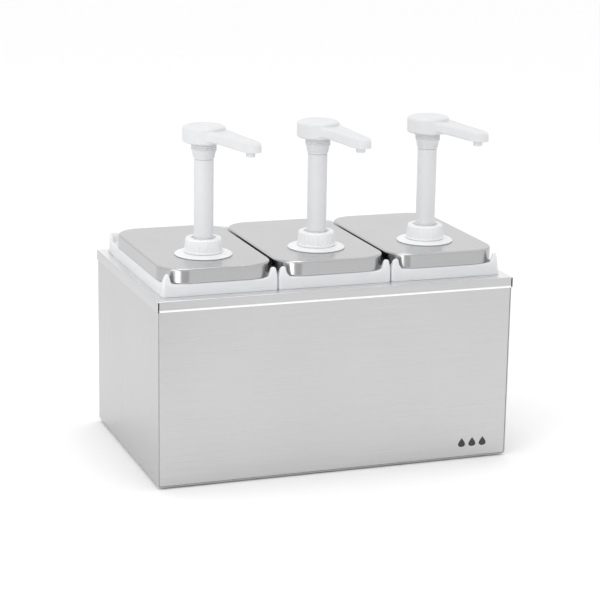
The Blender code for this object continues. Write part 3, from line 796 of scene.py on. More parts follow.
def turned_profiles():
    """Closed profiles of (radius, height above the piece's own foot, edge radius), in millimetres."""
    return {
        "mounting_flange": [(15.0, 0), (17.2, 0), (17.2, 11.3), (31, 11.3, 0.1), (31, 12.2, 0.5),
                            (29.6, 13.0, 2), (24.5, 13.7, 2), (22.6, 14.3, 0.6), (21.8, 13.8), (16.5, 13.8),
                            (16.5, 18.5), (15.0, 18.5)],
        "collar_nut": [(16.9, 0), (20.5, 0), (20.5, 1.3, 0.5), (19.9, 2.5, 0.3), (19.1, 14.2, 0.6),
                       (18.5, 15.6, 0.8), (13.2, 15.6, 0.6), (13.2, 14.0), (11.1, 14.0), (11.1, 7.3),
                       (16.9, 7.3)],
        "stem_guide": [(10.8, 0), (12.8, 0), (12.8, 23.2), (16.3, 23.2), (16.3, 24.3), (10.8, 24.3, 0.5)],
        "pump_cylinder": [(11.6, 0), (11.6, 121, 2), (13.1, 122.5, 2), (13.1, 145.7), (16.3, 145.7),
                          (16.3, 144.8), (14.7, 144.8, 0.5), (14.7, 121.5, 2), (13.3, 120, 2),
                          (13.3, 0)],
        "foot_valve": [(2.6, 0), (2.6, 12.5), (6.2, 16.1), (6.2, 23), (3.2, 23), (3.2, 24.2),
                       (11.2, 24.2, 0.4), (11.2, 13.7), (13.3, 13.7), (13.3, 10.2, 0.8), (4.7, 10.2, 1),
                       (4.7, 0, 0.6)],
        "dip_tube": [(5.0, 0), (6.3, 0), (6.3, 67.9), (5.0, 67.9)],
        "piston": [(2.2, 0), (2.2, 6.5), (4.9, 9.2), (4.9, 14.8), (2.6, 14.8), (2.6, 16), (6.6, 16),
                   (6.6, 14), (11.3, 14, 0.5), (11.3, 12), (10, 11), (10, 3), (11.3, 2), (11.3, 0, 0.5)],
        "stem": [(7, 0), (7, 115.2, 1), (5.5, 117.2), (5.5, 133.2), (8, 133.2, 0.5), (8, 119.4),
                 (10.5, 119.4), (10.5, 1.7), (11.2, 1.7), (11.2, 0)],
        "nozzle": [(2.6, 0, 0.5), (2.6, 11.5), (3.7, 11.5), (3.7, 5), (4.9, 5), (4.9, 0, 0.9)],
    }


def build_turned_pieces(station, plastic, collar_plastic_painted_light):
    axis = pump_axis(station)
    bodies = {"piston": f"piston_{station}", "stem": f"head_{station}"}
    for name, profile in turned_profiles().items():
        if name == "nozzle":
            continue
        node = f"{name}_{station}"
        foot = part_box(node)[0].z
        mesh = to_mesh(turned(profile), f"{station}_{name}", Matrix.Translation((axis.x, axis.y, foot)))
        # The collar nut and flange take the lighter copy of the plastic, painted light.
        finish = collar_plastic_painted_light if name in ("mounting_flange", "collar_nut") else plastic
        add_piece(f"{station}_{name}", mesh, finish, bodies.get(name, f"lid_{station}"), node)


def build_retaining_nut(station, plastic):
    """Hexagonal nut that clamps the mounting flange from under the lid, with chamfered ends."""
    node = f"retaining_nut_{station}"
    low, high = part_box(node)
    axis = pump_axis(station)
    height, hole, half_flat = high.z - low.z, RETAINING_HOLE, RETAINING_HALF_FLAT
    rings = [circle_ring(hole + 0.4 * MM, 0.0), hexagon_ring(half_flat - 1 * MM, 0.0),
             hexagon_ring(half_flat, 0.8 * MM), hexagon_ring(half_flat, height - 0.8 * MM),
             hexagon_ring(half_flat - 1 * MM, height), circle_ring(hole + 0.4 * MM, height),
             circle_ring(hole, height - 0.4 * MM), circle_ring(hole, 0.4 * MM)]
    mesh = to_mesh(loft(rings, closed=True), node, Matrix.Translation((axis.x, axis.y, low.z)))
    add_piece(f"{station}_retaining_nut", mesh, plastic, f"lid_{station}", node, 25)


def build_grip(station, tree, plastic):
    """Ribs on the sloping side of the collar nut."""
    axis = pump_axis(station)
    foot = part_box(f"collar_nut_{station}")[0].z + GRIP_ABOVE_FOOT
    sizes = {"Count": GRIP_RIBS, "Foot Radius": GRIP_FOOT_RADIUS, "Rib Height": GRIP_HEIGHT,
             "Rib Radius": RIB_RADIUS, "Lean": -GRIP_LEAN, "Material": plastic}
    name = f"{station}_collar_grip"
    mesh = mesh_from_tree(name, tree, sizes, Matrix.Translation((axis.x, axis.y, foot)))
    add_piece(name, mesh, plastic, f"lid_{station}", None)


def build_thread(station, tree, plastic):
    """Raised thread around the boss under the head, and finer rings on its tapered end."""
    axis = pump_axis(station)
    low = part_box(f"pump_head_{station}")[0].z
    windings = (("head_thread", 9.6 * MM, THREAD_TURNS, 13.0 * MM, 13.0 * MM, 0.72 * MM),
                ("head_taper_rings", 2.3 * MM, 3.0, 11.25 * MM, 12.25 * MM, 0.42 * MM))
    for part, foot, turns, radius, top_radius, wire_radius in windings:
        sizes = {"Turns": turns, "Radius": radius, "Top Radius": top_radius,
                 "Rise": turns * THREAD_PITCH, "Wire Radius": wire_radius, "Points Per Turn": 64,
                 "Level Share": 0.0, "Material": plastic}
        name = f"{station}_{part}"
        mesh = mesh_from_tree(name, tree, sizes, Matrix.Translation((axis.x, axis.y, low + foot)))
        add_piece(name, mesh, plastic, f"head_{station}", None)


def build_spring(station, tree, wire):
    """Return spring between the foot valve and the piston."""
    node = f"return_spring_{station}"
    low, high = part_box(node)
    axis = pump_axis(station)
    rise = high.z - low.z - 2 * SPRING_WIRE
    sizes = {"Turns": float(SPRING_TURNS), "Radius": SPRING_RADIUS, "Top Radius": SPRING_RADIUS,
             "Rise": rise, "Wire Radius": SPRING_WIRE, "Points Per Turn": 40, "Level Share": 0.05,
             "Material": wire}
    place = Matrix.Translation((axis.x, axis.y, low.z + SPRING_WIRE))
    mesh = mesh_from_tree(f"{station}_return_spring", tree, sizes, place)
    piece = add_piece(f"{station}_return_spring", mesh, wire, f"lid_{station}", node)
    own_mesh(piece)


def build_ball(station, name, steel):
    node = f"{name}_{station}"
    low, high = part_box(node)
    bm = bmesh.new()
    bmesh.ops.create_uvsphere(bm, u_segments=48, v_segments=24, radius=(high.z - low.z) / 2,
                              matrix=Matrix.Translation((low + high) / 2))
    add_piece(f"{station}_{name}", to_mesh(bm, node), steel, node, node)


def arm_top(reach):
    return ARM_TOP_AT_ROOT - ARM_TOP_FALL * (reach - ARM_ROOT)


def arm_bottom(reach):
    return max(ARM_FOOT_AT_ROOT - ARM_FOOT_FALL * (reach - ARM_ROOT), ARM_FOOT_LOWEST)


def head_cage():
    """Coarse cage of the head: cup, boss and arm in one skin, for a subdivision surface."""
    widen = 3 / (2 + math.cos(2 * math.pi / HEAD_STEPS))   # makes up for the rounding of each ring
    cup = [(6, 372.5), (13, 372.5), (17.4, 372.5), (18.5, 372.35), (19.3, 371.85), (20.5, 371.6),
           (22.0, 371.0), (22.9, 369.6), (22.9, 367.6), (22.9, 362.8), (22.9, 358.0), (22.9, 356.0),
           (22.3, 354.6), (20.9, 354), (17, 354), (14.3, 354), (13.1, 353), (13.1, 349), (13.1, 345.4),
           (12.5, 344.2), (12.15, 343.0), (11.75, 340.6), (11.15, 338.4), (10.75, 336.7), (10.5, 336.4),
           (9.2, 336.4), (8.4, 337.2), (8.3, 340), (8.3, 349.4), (7.6, 350), (3, 350)]
    arm_rows = (8, 9, 10)                                  # rings at the arm's top, middle and bottom
    bm = bmesh.new()
    rings = []
    for radius, z in cup:
        rings.append([bm.verts.new(point) for point in circle_ring(radius * widen, z, HEAD_STEPS)])
    columns = (-3, -2, -1, 0, 1, 2, 3)
    for row, (upper, lower) in enumerate(zip(rings, rings[1:])):
        for i in range(HEAD_STEPS):
            j = (i + 1) % HEAD_STEPS
            under_arm = (i + 3) % HEAD_STEPS < 6
            if under_arm and arm_rows[0] <= row < arm_rows[2]:
                continue
            bm.faces.new((upper[i], lower[i], lower[j], upper[j]))
    for ring, z in ((rings[0], cup[0][1]), (rings[-1], cup[-1][1])):
        hub = bm.verts.new((0.0, 0.0, z))
        for i in range(HEAD_STEPS):
            bm.faces.new((ring[i], ring[(i + 1) % HEAD_STEPS], hub))

    top, middle, bottom = (rings[row] for row in arm_rows)
    last = ([top[i] for i in columns] + [middle[3]] + [bottom[i] for i in reversed(columns)]
            + [middle[-3]])
    for i in columns[1:-1]:
        bm.verts.remove(middle[i])

    def section(reach, half, bulge):
        """Sixteen points around the arm; bulge pushes the middle of the section ahead."""
        across = (-1.0, -0.75, -0.4, 0.0, 0.4, 0.75, 1.0)
        ahead = {y: bulge * math.sqrt(max(1 - y * y * 0.94, 0.0)) for y in across}
        over = [(reach + ahead[y], half * y, arm_top(reach + ahead[y])) for y in across]
        under = [(reach + ahead[y], half * y, arm_bottom(reach + ahead[y])) for y in reversed(across)]
        side_z = (over[0][2] + under[0][2]) / 2
        right = (over[-1][0], half, side_z)
        left = (over[0][0], -half, side_z)
        return [bm.verts.new(point) for point in over + [right] + under + [left]]

    stations = ((25.5, 13.4, 0.0), (32, 12.0, 0.0), (42, 10.8, 0.0), (51, 9.9, 0.0), (58, 9.2, 0.8),
                (62.6, 8.8, 3.2), (64.4, 8.4, 8.3))
    for reach, half, bulge in stations:
        loop = section(reach, half, bulge)
        for i in range(16):
            j = (i + 1) % 16
            bm.faces.new((last[i], last[j], loop[j], loop[i]))
        last = loop
    inner = []
    for k in range(1, 6):
        above, below = last[k].co, last[14 - k].co
        inner.append(bm.verts.new((above + below) / 2))
    upper_row, lower_row = last[0:7], last[14:7:-1]
    middle_row = [last[15], *inner, last[7]]
    for first, second in ((upper_row, middle_row), (middle_row, lower_row)):
        for k in range(6):
            bm.faces.new((first[k], first[k + 1], second[k + 1], second[k]))
    bmesh.ops.recalc_face_normals(bm, faces=bm.faces)
    crease = bm.edges.layers.float.new("crease_edge")
    for edge in bm.edges:
        ends = [v.co for v in edge.verts]
        if all(p.x > 50 and p.z < arm_bottom(p.x) + 0.3 for p in ends) and len(edge.link_faces) == 2:
            if edge.calc_face_angle(0.0) > math.radians(50):
                edge[crease] = 0.55
    return bm


def spout_bearing(station):
    """Direction of the spout about +Z, from the pump's axis to its nozzle."""
    low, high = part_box(f"nozzle_{station}")
    reach = ((low + high) / 2 - pump_axis(station)).xy
    return math.atan2(reach.y, reach.x)


def build_head(station, plastic):
    node = f"pump_head_{station}"
    axis = pump_axis(station)
    turn = spout_bearing(station)
    cage = to_mesh(head_cage(), node)
    upright = Matrix.Rotation(turn, 4, 'Z') @ Matrix.Scale(MM, 4)
    cage.transform(Matrix.Translation((axis.x, axis.y, 0.0)) @ upright)
    piece = add_piece(f"{station}_pump_head", cage, plastic, f"head_{station}", node,
                      180)
    smooth = piece.modifiers.new("moulded", 'SUBSURF')
    smooth.levels = 3
    smooth.render_levels = 3


def build_nozzle(station, plastic):
    node = f"nozzle_{station}"
    low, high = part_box(node)
    place = Matrix.Translation(((low.x + high.x) / 2, (low.y + high.y) / 2, low.z))
    mesh = to_mesh(turned(turned_profiles()["nozzle"]), node, place)
    add_piece(f"{station}_nozzle", mesh, plastic, f"head_{station}", node)


# Finishes ----------------------------------------------------------------------------------

def brushed_steel(name, tone, roughness, grain, bump, painted_upward_light):
    """Satin stainless sheet. grain gives how fine the brush marks are along X, Y and Z, and
    painted_upward_light how much brighter the sheet is painted where it faces up, as painted light from
    above."""
    steel = bpy.data.materials.new(name)
    steel.use_nodes = True
    nodes, links = steel.node_tree.nodes, steel.node_tree.links
    nodes.clear()

    grain_frame = nodes.new("NodeFrame")
    grain_frame.label = "Brush marks"
    cloud_frame = nodes.new("NodeFrame")
    cloud_frame.label = "Handling marks and sheet colour"
    relief_frame = nodes.new("NodeFrame")
    relief_frame.label = "Relief of the sheet"
    painted_light_frame = nodes.new("NodeFrame")
    painted_light_frame.label = "Painted light where the sheet faces up"

    position = nodes.new("ShaderNodeTexCoord")
    position.label = "Position on the cabinet"
    along_grain = nodes.new("ShaderNodeMapping")
    along_grain.label = "Stretch marks along the brushing"
    along_grain.inputs["Scale"].default_value = grain
    marks = nodes.new("ShaderNodeTexNoise")
    marks.label = "Fine brush marks"
    marks.inputs["Scale"].default_value = 1.0
    marks.inputs["Detail"].default_value = 6.0
    marks.inputs["Roughness"].default_value = 0.62
    mark_tone = nodes.new("ShaderNodeMapRange")
    mark_tone.label = "Marks lighten and darken the sheet"
    mark_tone.inputs["From Min"].default_value = 0.3
    mark_tone.inputs["From Max"].default_value = 0.7
    mark_tone.inputs["To Min"].default_value = 0.965
    mark_tone.inputs["To Max"].default_value = 1.03
    clouds = nodes.new("ShaderNodeTexNoise")
    clouds.label = "Broad cloudiness"
    clouds.inputs["Scale"].default_value = 7.0
    clouds.inputs["Detail"].default_value = 3.0
    cloud_tone = nodes.new("ShaderNodeMapRange")
    cloud_tone.label = "Clouds shift the tone a little"
    cloud_tone.inputs["From Min"].default_value = 0.3
    cloud_tone.inputs["From Max"].default_value = 0.7
    cloud_tone.inputs["To Min"].default_value = 0.985
    cloud_tone.inputs["To Max"].default_value = 1.015
    both_tones = nodes.new("ShaderNodeMath")
    both_tones.label = "Marks and clouds together"
    both_tones.operation = 'MULTIPLY'
    # Painted light: the sheet's colour is made brighter where it faces up.
    facing = nodes.new("ShaderNodeNewGeometry")
    facing.label = "Facing of the sheet"
    upward = nodes.new("ShaderNodeSeparateXYZ")
    upward.label = "How far it faces up"
    upward_painted_light = nodes.new("ShaderNodeMapRange")
    upward_painted_light.label = "Painted light: brighter where it faces up"
    upward_painted_light.inputs["From Min"].default_value = 0.6
    upward_painted_light.inputs["From Max"].default_value = 0.95
    upward_painted_light.inputs["To Min"].default_value = 1.0
    upward_painted_light.inputs["To Max"].default_value = painted_upward_light
    all_tones = nodes.new("ShaderNodeMath")
    all_tones.label = "Painted upward light on top of that"
    all_tones.operation = 'MULTIPLY'
    sheet_colour = nodes.new("ShaderNodeVectorMath")
    sheet_colour.label = "Stainless colour"
    sheet_colour.operation = 'SCALE'
    sheet_colour.inputs[0].default_value = tone
    sheen_spread = nodes.new("ShaderNodeMapRange")
    sheen_spread.label = "Satin varies along the marks"
    sheen_spread.inputs["From Min"].default_value = 0.25
    sheen_spread.inputs["From Max"].default_value = 0.75
    sheen_spread.inputs["To Min"].default_value = roughness - 0.045
    sheen_spread.inputs["To Max"].default_value = roughness + 0.045
    mark_relief = nodes.new("ShaderNodeBump")
    mark_relief.label = "Depth of the brush marks"
    mark_relief.inputs["Strength"].default_value = bump
    mark_relief.inputs["Distance"].default_value = 0.00004
    waves = nodes.new("ShaderNodeTexNoise")
    waves.label = "Slight waviness of thin sheet"
    waves.inputs["Scale"].default_value = 5.0
    waves.inputs["Detail"].default_value = 1.0
    wave_relief = nodes.new("ShaderNodeBump")
    wave_relief.label = "Depth of the waviness"
    wave_relief.inputs["Strength"].default_value = 0.35
    wave_relief.inputs["Distance"].default_value = 0.0012
    sheet = nodes.new("ShaderNodeBsdfPrincipled")
    sheet.label = "Stainless sheet"
    sheet.inputs["Metallic"].default_value = 1.0
    surface = nodes.new("ShaderNodeOutputMaterial")
    surface.label = "Surface"

    layout = ((position, None, 0, 1), (along_grain, grain_frame, 1, 0), (marks, grain_frame, 2, 0),
              (mark_tone, grain_frame, 3, 0), (sheen_spread, grain_frame, 3, 1),
              (clouds, cloud_frame, 2, 2), (cloud_tone, cloud_frame, 3, 2),
              (facing, painted_light_frame, 1, 4), (upward, painted_light_frame, 2, 4),
              (upward_painted_light, painted_light_frame, 3, 4), (both_tones, cloud_frame, 4, 2),
              (all_tones, cloud_frame, 5, 2), (sheet_colour, cloud_frame, 6, 2),
              (waves, relief_frame, 3, 3), (wave_relief, relief_frame, 4, 3),
              (mark_relief, relief_frame, 5, 3), (sheet, None, 7, 1), (surface, None, 8, 1))
    for node, group, column, row in layout:
        node.parent = group
        node.location = (column * 240 - 1400, 500 - row * 300)

    links.new(position.outputs["Object"], along_grain.inputs["Vector"])
    links.new(along_grain.outputs["Vector"], marks.inputs["Vector"])
    links.new(marks.outputs["Fac"], mark_tone.inputs["Value"])
    links.new(marks.outputs["Fac"], sheen_spread.inputs["Value"])
    links.new(position.outputs["Object"], clouds.inputs["Vector"])
    links.new(clouds.outputs["Fac"], cloud_tone.inputs["Value"])
    links.new(mark_tone.outputs["Result"], both_tones.inputs[0])
    links.new(cloud_tone.outputs["Result"], both_tones.inputs[1])
    links.new(facing.outputs["Normal"], upward.inputs["Vector"])
    links.new(upward.outputs["Z"], upward_painted_light.inputs["Value"])
    links.new(both_tones.outputs["Value"], all_tones.inputs[0])
    links.new(upward_painted_light.outputs["Result"], all_tones.inputs[1])
    links.new(all_tones.outputs["Value"], sheet_colour.inputs["Scale"])
    links.new(position.outputs["Object"], waves.inputs["Vector"])
    links.new(waves.outputs["Fac"], wave_relief.inputs["Height"])
    links.new(wave_relief.outputs["Normal"], mark_relief.inputs["Normal"])
    links.new(marks.outputs["Fac"], mark_relief.inputs["Height"])
    links.new(sheet_colour.outputs["Vector"], sheet.inputs["Base Color"])
    links.new(sheen_spread.outputs["Result"], sheet.inputs["Roughness"])
    links.new(mark_relief.outputs["Normal"], sheet.inputs["Normal"])
    links.new(sheet.outputs["BSDF"], surface.inputs["Surface"])
    return steel


def pressed_lid_steel():
    """Lid sheet: brushed along its length on top, and polished by the press on the skirt, whose colour is
    darkened as painted shade.
    """
    steel = bpy.data.materials.new("pressed_lid_steel")
    steel.use_nodes = True
    nodes, links = steel.node_tree.nodes, steel.node_tree.links
    nodes.clear()

    side_frame = nodes.new("NodeFrame")
    side_frame.label = "Where the sheet is drawn into the skirt"
    top_frame = nodes.new("NodeFrame")
    top_frame.label = "Brushing on the top"
    skirt_frame = nodes.new("NodeFrame")
    skirt_frame.label = "Press lines on the skirt"
    finish_frame = nodes.new("NodeFrame")
    finish_frame.label = "Tone, satin and relief"

    position = nodes.new("ShaderNodeTexCoord")
    position.label = "Position on the lid"
    facing = nodes.new("ShaderNodeNewGeometry")
    facing.label = "Facing of the sheet"
    upward = nodes.new("ShaderNodeSeparateXYZ")
    upward.label = "How far it faces up"
    on_top = nodes.new("ShaderNodeMapRange")
    on_top.label = "1 on the top, 0 on the skirt"
    on_top.inputs["From Min"].default_value = 0.35
    on_top.inputs["From Max"].default_value = 0.95
    top_stretch = nodes.new("ShaderNodeMapping")
    top_stretch.label = "Brushed front to back"
    top_stretch.inputs["Scale"].default_value = (900.0, 14.0, 14.0)
    top_marks = nodes.new("ShaderNodeTexNoise")
    top_marks.label = "Brush marks"
    top_marks.inputs["Scale"].default_value = 1.0
    top_marks.inputs["Detail"].default_value = 5.0
    skirt_stretch = nodes.new("ShaderNodeMapping")
    skirt_stretch.label = "Lines run round the skirt"
    skirt_stretch.inputs["Scale"].default_value = (12.0, 12.0, 1400.0)
    skirt_marks = nodes.new("ShaderNodeTexNoise")
    skirt_marks.label = "Polishing lines"
    skirt_marks.inputs["Scale"].default_value = 1.0
    skirt_marks.inputs["Detail"].default_value = 4.0
    marks = nodes.new("ShaderNodeMix")
    marks.label = "Marks for this face"
    marks.data_type = 'FLOAT'
    clouds = nodes.new("ShaderNodeTexNoise")
    clouds.label = "Handling marks"
    clouds.inputs["Scale"].default_value = 16.0
    clouds.inputs["Detail"].default_value = 4.0
    cloud_tone = nodes.new("ShaderNodeMapRange")
    cloud_tone.label = "Handling marks dull the tone"
    cloud_tone.inputs["From Min"].default_value = 0.35
    cloud_tone.inputs["From Max"].default_value = 0.7
    cloud_tone.inputs["To Min"].default_value = 1.01
    cloud_tone.inputs["To Max"].default_value = 0.975
    mark_tone = nodes.new("ShaderNodeMapRange")
    mark_tone.label = "Marks lighten and darken"
    mark_tone.inputs["From Min"].default_value = 0.3
    mark_tone.inputs["From Max"].default_value = 0.7
    mark_tone.inputs["To Min"].default_value = 0.975
    mark_tone.inputs["To Max"].default_value = 1.02
    # Painted shade: the skirt's colour is made darker than the top's.
    skirt_painted_shade = nodes.new("ShaderNodeMapRange")
    skirt_painted_shade.label = "Painted shade on the skirt"
    skirt_painted_shade.inputs["To Min"].default_value = 0.82
    marks_and_skirt_shade = nodes.new("ShaderNodeMath")
    marks_and_skirt_shade.label = "Marks and the skirt's painted shade together"
    marks_and_skirt_shade.operation = 'MULTIPLY'
    both_tones = nodes.new("ShaderNodeMath")
    both_tones.label = "Handling marks on top of that"
    both_tones.operation = 'MULTIPLY'
    sheet_colour = nodes.new("ShaderNodeVectorMath")
    sheet_colour.label = "Stainless colour"
    sheet_colour.operation = 'SCALE'
    sheet_colour.inputs[0].default_value = LID_TONE
    face_satin = nodes.new("ShaderNodeMapRange")
    face_satin.label = "Satin top, polished skirt"
    face_satin.inputs["To Min"].default_value = SKIRT_ROUGHNESS
    face_satin.inputs["To Max"].default_value = LID_ROUGHNESS
    mark_satin = nodes.new("ShaderNodeMath")
    mark_satin.label = "Marks vary the satin"
    mark_satin.operation = 'MULTIPLY_ADD'
    mark_satin.inputs[1].default_value = 0.10
    relief = nodes.new("ShaderNodeBump")
    relief.label = "Depth of the marks"
    relief.inputs["Strength"].default_value = 0.25
    relief.inputs["Distance"].default_value = 0.00004
    sheet = nodes.new("ShaderNodeBsdfPrincipled")
    sheet.label = "Pressed stainless"
    sheet.inputs["Metallic"].default_value = 1.0
    surface = nodes.new("ShaderNodeOutputMaterial")
    surface.label = "Surface"

    layout = ((position, None, 0, 2), (facing, side_frame, 1, 0), (upward, side_frame, 2, 0),
              (on_top, side_frame, 3, 0), (top_stretch, top_frame, 1, 1), (top_marks, top_frame, 2, 1),
              (skirt_stretch, skirt_frame, 1, 2), (skirt_marks, skirt_frame, 2, 2),
              (clouds, finish_frame, 3, 3), (marks, finish_frame, 4, 1),
              (cloud_tone, finish_frame, 4, 3), (mark_tone, finish_frame, 5, 2),
              (skirt_painted_shade, finish_frame, 5, 3), (marks_and_skirt_shade, finish_frame, 6, 3),
              (both_tones, finish_frame, 6, 2), (sheet_colour, finish_frame, 7, 2),
              (face_satin, finish_frame, 5, 0), (mark_satin, finish_frame, 6, 0),
              (relief, finish_frame, 7, 3), (sheet, None, 8, 1), (surface, None, 9, 1))
    for node, group, column, row in layout:
        node.parent = group
        node.location = (column * 240 - 1600, 500 - row * 300)

    links.new(facing.outputs["Normal"], upward.inputs["Vector"])
    links.new(upward.outputs["Z"], on_top.inputs["Value"])
    links.new(position.outputs["Object"], top_stretch.inputs["Vector"])
    links.new(top_stretch.outputs["Vector"], top_marks.inputs["Vector"])
    links.new(position.outputs["Object"], skirt_stretch.inputs["Vector"])
    links.new(skirt_stretch.outputs["Vector"], skirt_marks.inputs["Vector"])
    links.new(on_top.outputs["Result"], marks.inputs["Factor"])
    links.new(skirt_marks.outputs["Fac"], marks.inputs["A"])
    links.new(top_marks.outputs["Fac"], marks.inputs["B"])
    links.new(position.outputs["Object"], clouds.inputs["Vector"])
    links.new(clouds.outputs["Fac"], cloud_tone.inputs["Value"])
    links.new(marks.outputs["Result"], mark_tone.inputs["Value"])
    links.new(mark_tone.outputs["Result"], marks_and_skirt_shade.inputs[0])
    links.new(on_top.outputs["Result"], skirt_painted_shade.inputs["Value"])
    links.new(skirt_painted_shade.outputs["Result"], marks_and_skirt_shade.inputs[1])
    links.new(marks_and_skirt_shade.outputs["Value"], both_tones.inputs[0])
    links.new(cloud_tone.outputs["Result"], both_tones.inputs[1])
    links.new(both_tones.outputs["Value"], sheet_colour.inputs["Scale"])
    links.new(sheet_colour.outputs["Vector"], sheet.inputs["Base Color"])
    links.new(on_top.outputs["Result"], face_satin.inputs["Value"])
    links.new(marks.outputs["Result"], mark_satin.inputs[0])
    links.new(face_satin.outputs["Result"], mark_satin.inputs[2])
    links.new(mark_satin.outputs["Value"], sheet.inputs["Roughness"])
    links.new(marks.outputs["Result"], relief.inputs["Height"])
    links.new(relief.outputs["Normal"], sheet.inputs["Normal"])
    links.new(sheet.outputs["BSDF"], surface.inputs["Surface"])
    return steel


def moulded_plastic(name, colour, roughness, milkiness, flow):
    """White injection-moulded plastic. flow gives how the mould's flow marks stretch along X, Y, Z."""
    plastic = bpy.data.materials.new(name)
    plastic.use_nodes = True
    nodes, links = plastic.node_tree.nodes, plastic.node_tree.links
    nodes.clear()

    flow_frame = nodes.new("NodeFrame")
    flow_frame.label = "Flow marks in the colour"
    skin_frame = nodes.new("NodeFrame")
    skin_frame.label = "Skin left by the mould"

    position = nodes.new("ShaderNodeTexCoord")
    position.label = "Position on the moulding"
    along_flow = nodes.new("ShaderNodeMapping")
    along_flow.label = "Stretch along the flow"
    along_flow.inputs["Scale"].default_value = flow
    flow_marks = nodes.new("ShaderNodeTexNoise")
    flow_marks.label = "Flow marks"
    flow_marks.inputs["Scale"].default_value = 1.0
    flow_marks.inputs["Detail"].default_value = 3.0
    flow_tone = nodes.new("ShaderNodeMapRange")
    flow_tone.label = "Flow marks tint the white"
    flow_tone.inputs["From Min"].default_value = 0.3
    flow_tone.inputs["From Max"].default_value = 0.7
    flow_tone.inputs["To Min"].default_value = 0.975
    flow_tone.inputs["To Max"].default_value = 1.01
    plastic_colour = nodes.new("ShaderNodeVectorMath")
    plastic_colour.label = "Plastic colour"
    plastic_colour.operation = 'SCALE'
    plastic_colour.inputs[0].default_value = colour
    pebble = nodes.new("ShaderNodeTexNoise")
    pebble.label = "Fine spark-eroded skin"
    pebble.inputs["Scale"].default_value = 1600.0
    pebble.inputs["Detail"].default_value = 3.0
    gloss = nodes.new("ShaderNodeMapRange")
    gloss.label = "Gloss varies with the skin"
    gloss.inputs["From Min"].default_value = 0.3
    gloss.inputs["From Max"].default_value = 0.7
    gloss.inputs["To Min"].default_value = roughness - 0.05
    gloss.inputs["To Max"].default_value = roughness + 0.05
    sink = nodes.new("ShaderNodeTexNoise")
    sink.label = "Shallow sink marks"
    sink.inputs["Scale"].default_value = 60.0
    sink.inputs["Detail"].default_value = 1.0
    sink_relief = nodes.new("ShaderNodeBump")
    sink_relief.label = "Depth of the sink marks"
    sink_relief.inputs["Strength"].default_value = 0.3
    sink_relief.inputs["Distance"].default_value = 0.0003
    skin_relief = nodes.new("ShaderNodeBump")
    skin_relief.label = "Depth of the skin"
    skin_relief.inputs["Strength"].default_value = 0.2
    skin_relief.inputs["Distance"].default_value = 0.00003
    moulding = nodes.new("ShaderNodeBsdfPrincipled")
    moulding.label = "Moulded plastic"
    moulding.inputs["IOR"].default_value = 1.5
    moulding.inputs["Subsurface Weight"].default_value = milkiness
    moulding.inputs["Subsurface Radius"].default_value = (1.0, 0.95, 0.9)
    moulding.inputs["Subsurface Scale"].default_value = 0.005
    surface = nodes.new("ShaderNodeOutputMaterial")
    surface.label = "Surface"

    layout = ((position, None, 0, 1), (along_flow, flow_frame, 1, 0), (flow_marks, flow_frame, 2, 0),
              (flow_tone, flow_frame, 3, 0), (plastic_colour, flow_frame, 4, 0),
              (pebble, skin_frame, 2, 1), (gloss, skin_frame, 4, 1), (sink, skin_frame, 2, 2),
              (sink_relief, skin_frame, 3, 2), (skin_relief, skin_frame, 4, 2),
              (moulding, None, 5, 1), (surface, None, 6, 1))
    for node, group, column, row in layout:
        node.parent = group
        node.location = (column * 240 - 1200, 400 - row * 300)

    links.new(position.outputs["Object"], along_flow.inputs["Vector"])
    links.new(along_flow.outputs["Vector"], flow_marks.inputs["Vector"])
    links.new(flow_marks.outputs["Fac"], flow_tone.inputs["Value"])
    links.new(flow_tone.outputs["Result"], plastic_colour.inputs["Scale"])
    links.new(plastic_colour.outputs["Vector"], moulding.inputs["Base Color"])
    links.new(position.outputs["Object"], pebble.inputs["Vector"])
    links.new(pebble.outputs["Fac"], gloss.inputs["Value"])
    links.new(gloss.outputs["Result"], moulding.inputs["Roughness"])
    links.new(position.outputs["Object"], sink.inputs["Vector"])
    links.new(sink.outputs["Fac"], sink_relief.inputs["Height"])
    links.new(sink_relief.outputs["Normal"], skin_relief.inputs["Normal"])
    links.new(pebble.outputs["Fac"], skin_relief.inputs["Height"])
    links.new(skin_relief.outputs["Normal"], moulding.inputs["Normal"])
    links.new(moulding.outputs["BSDF"], surface.inputs["Surface"])
    return plastic


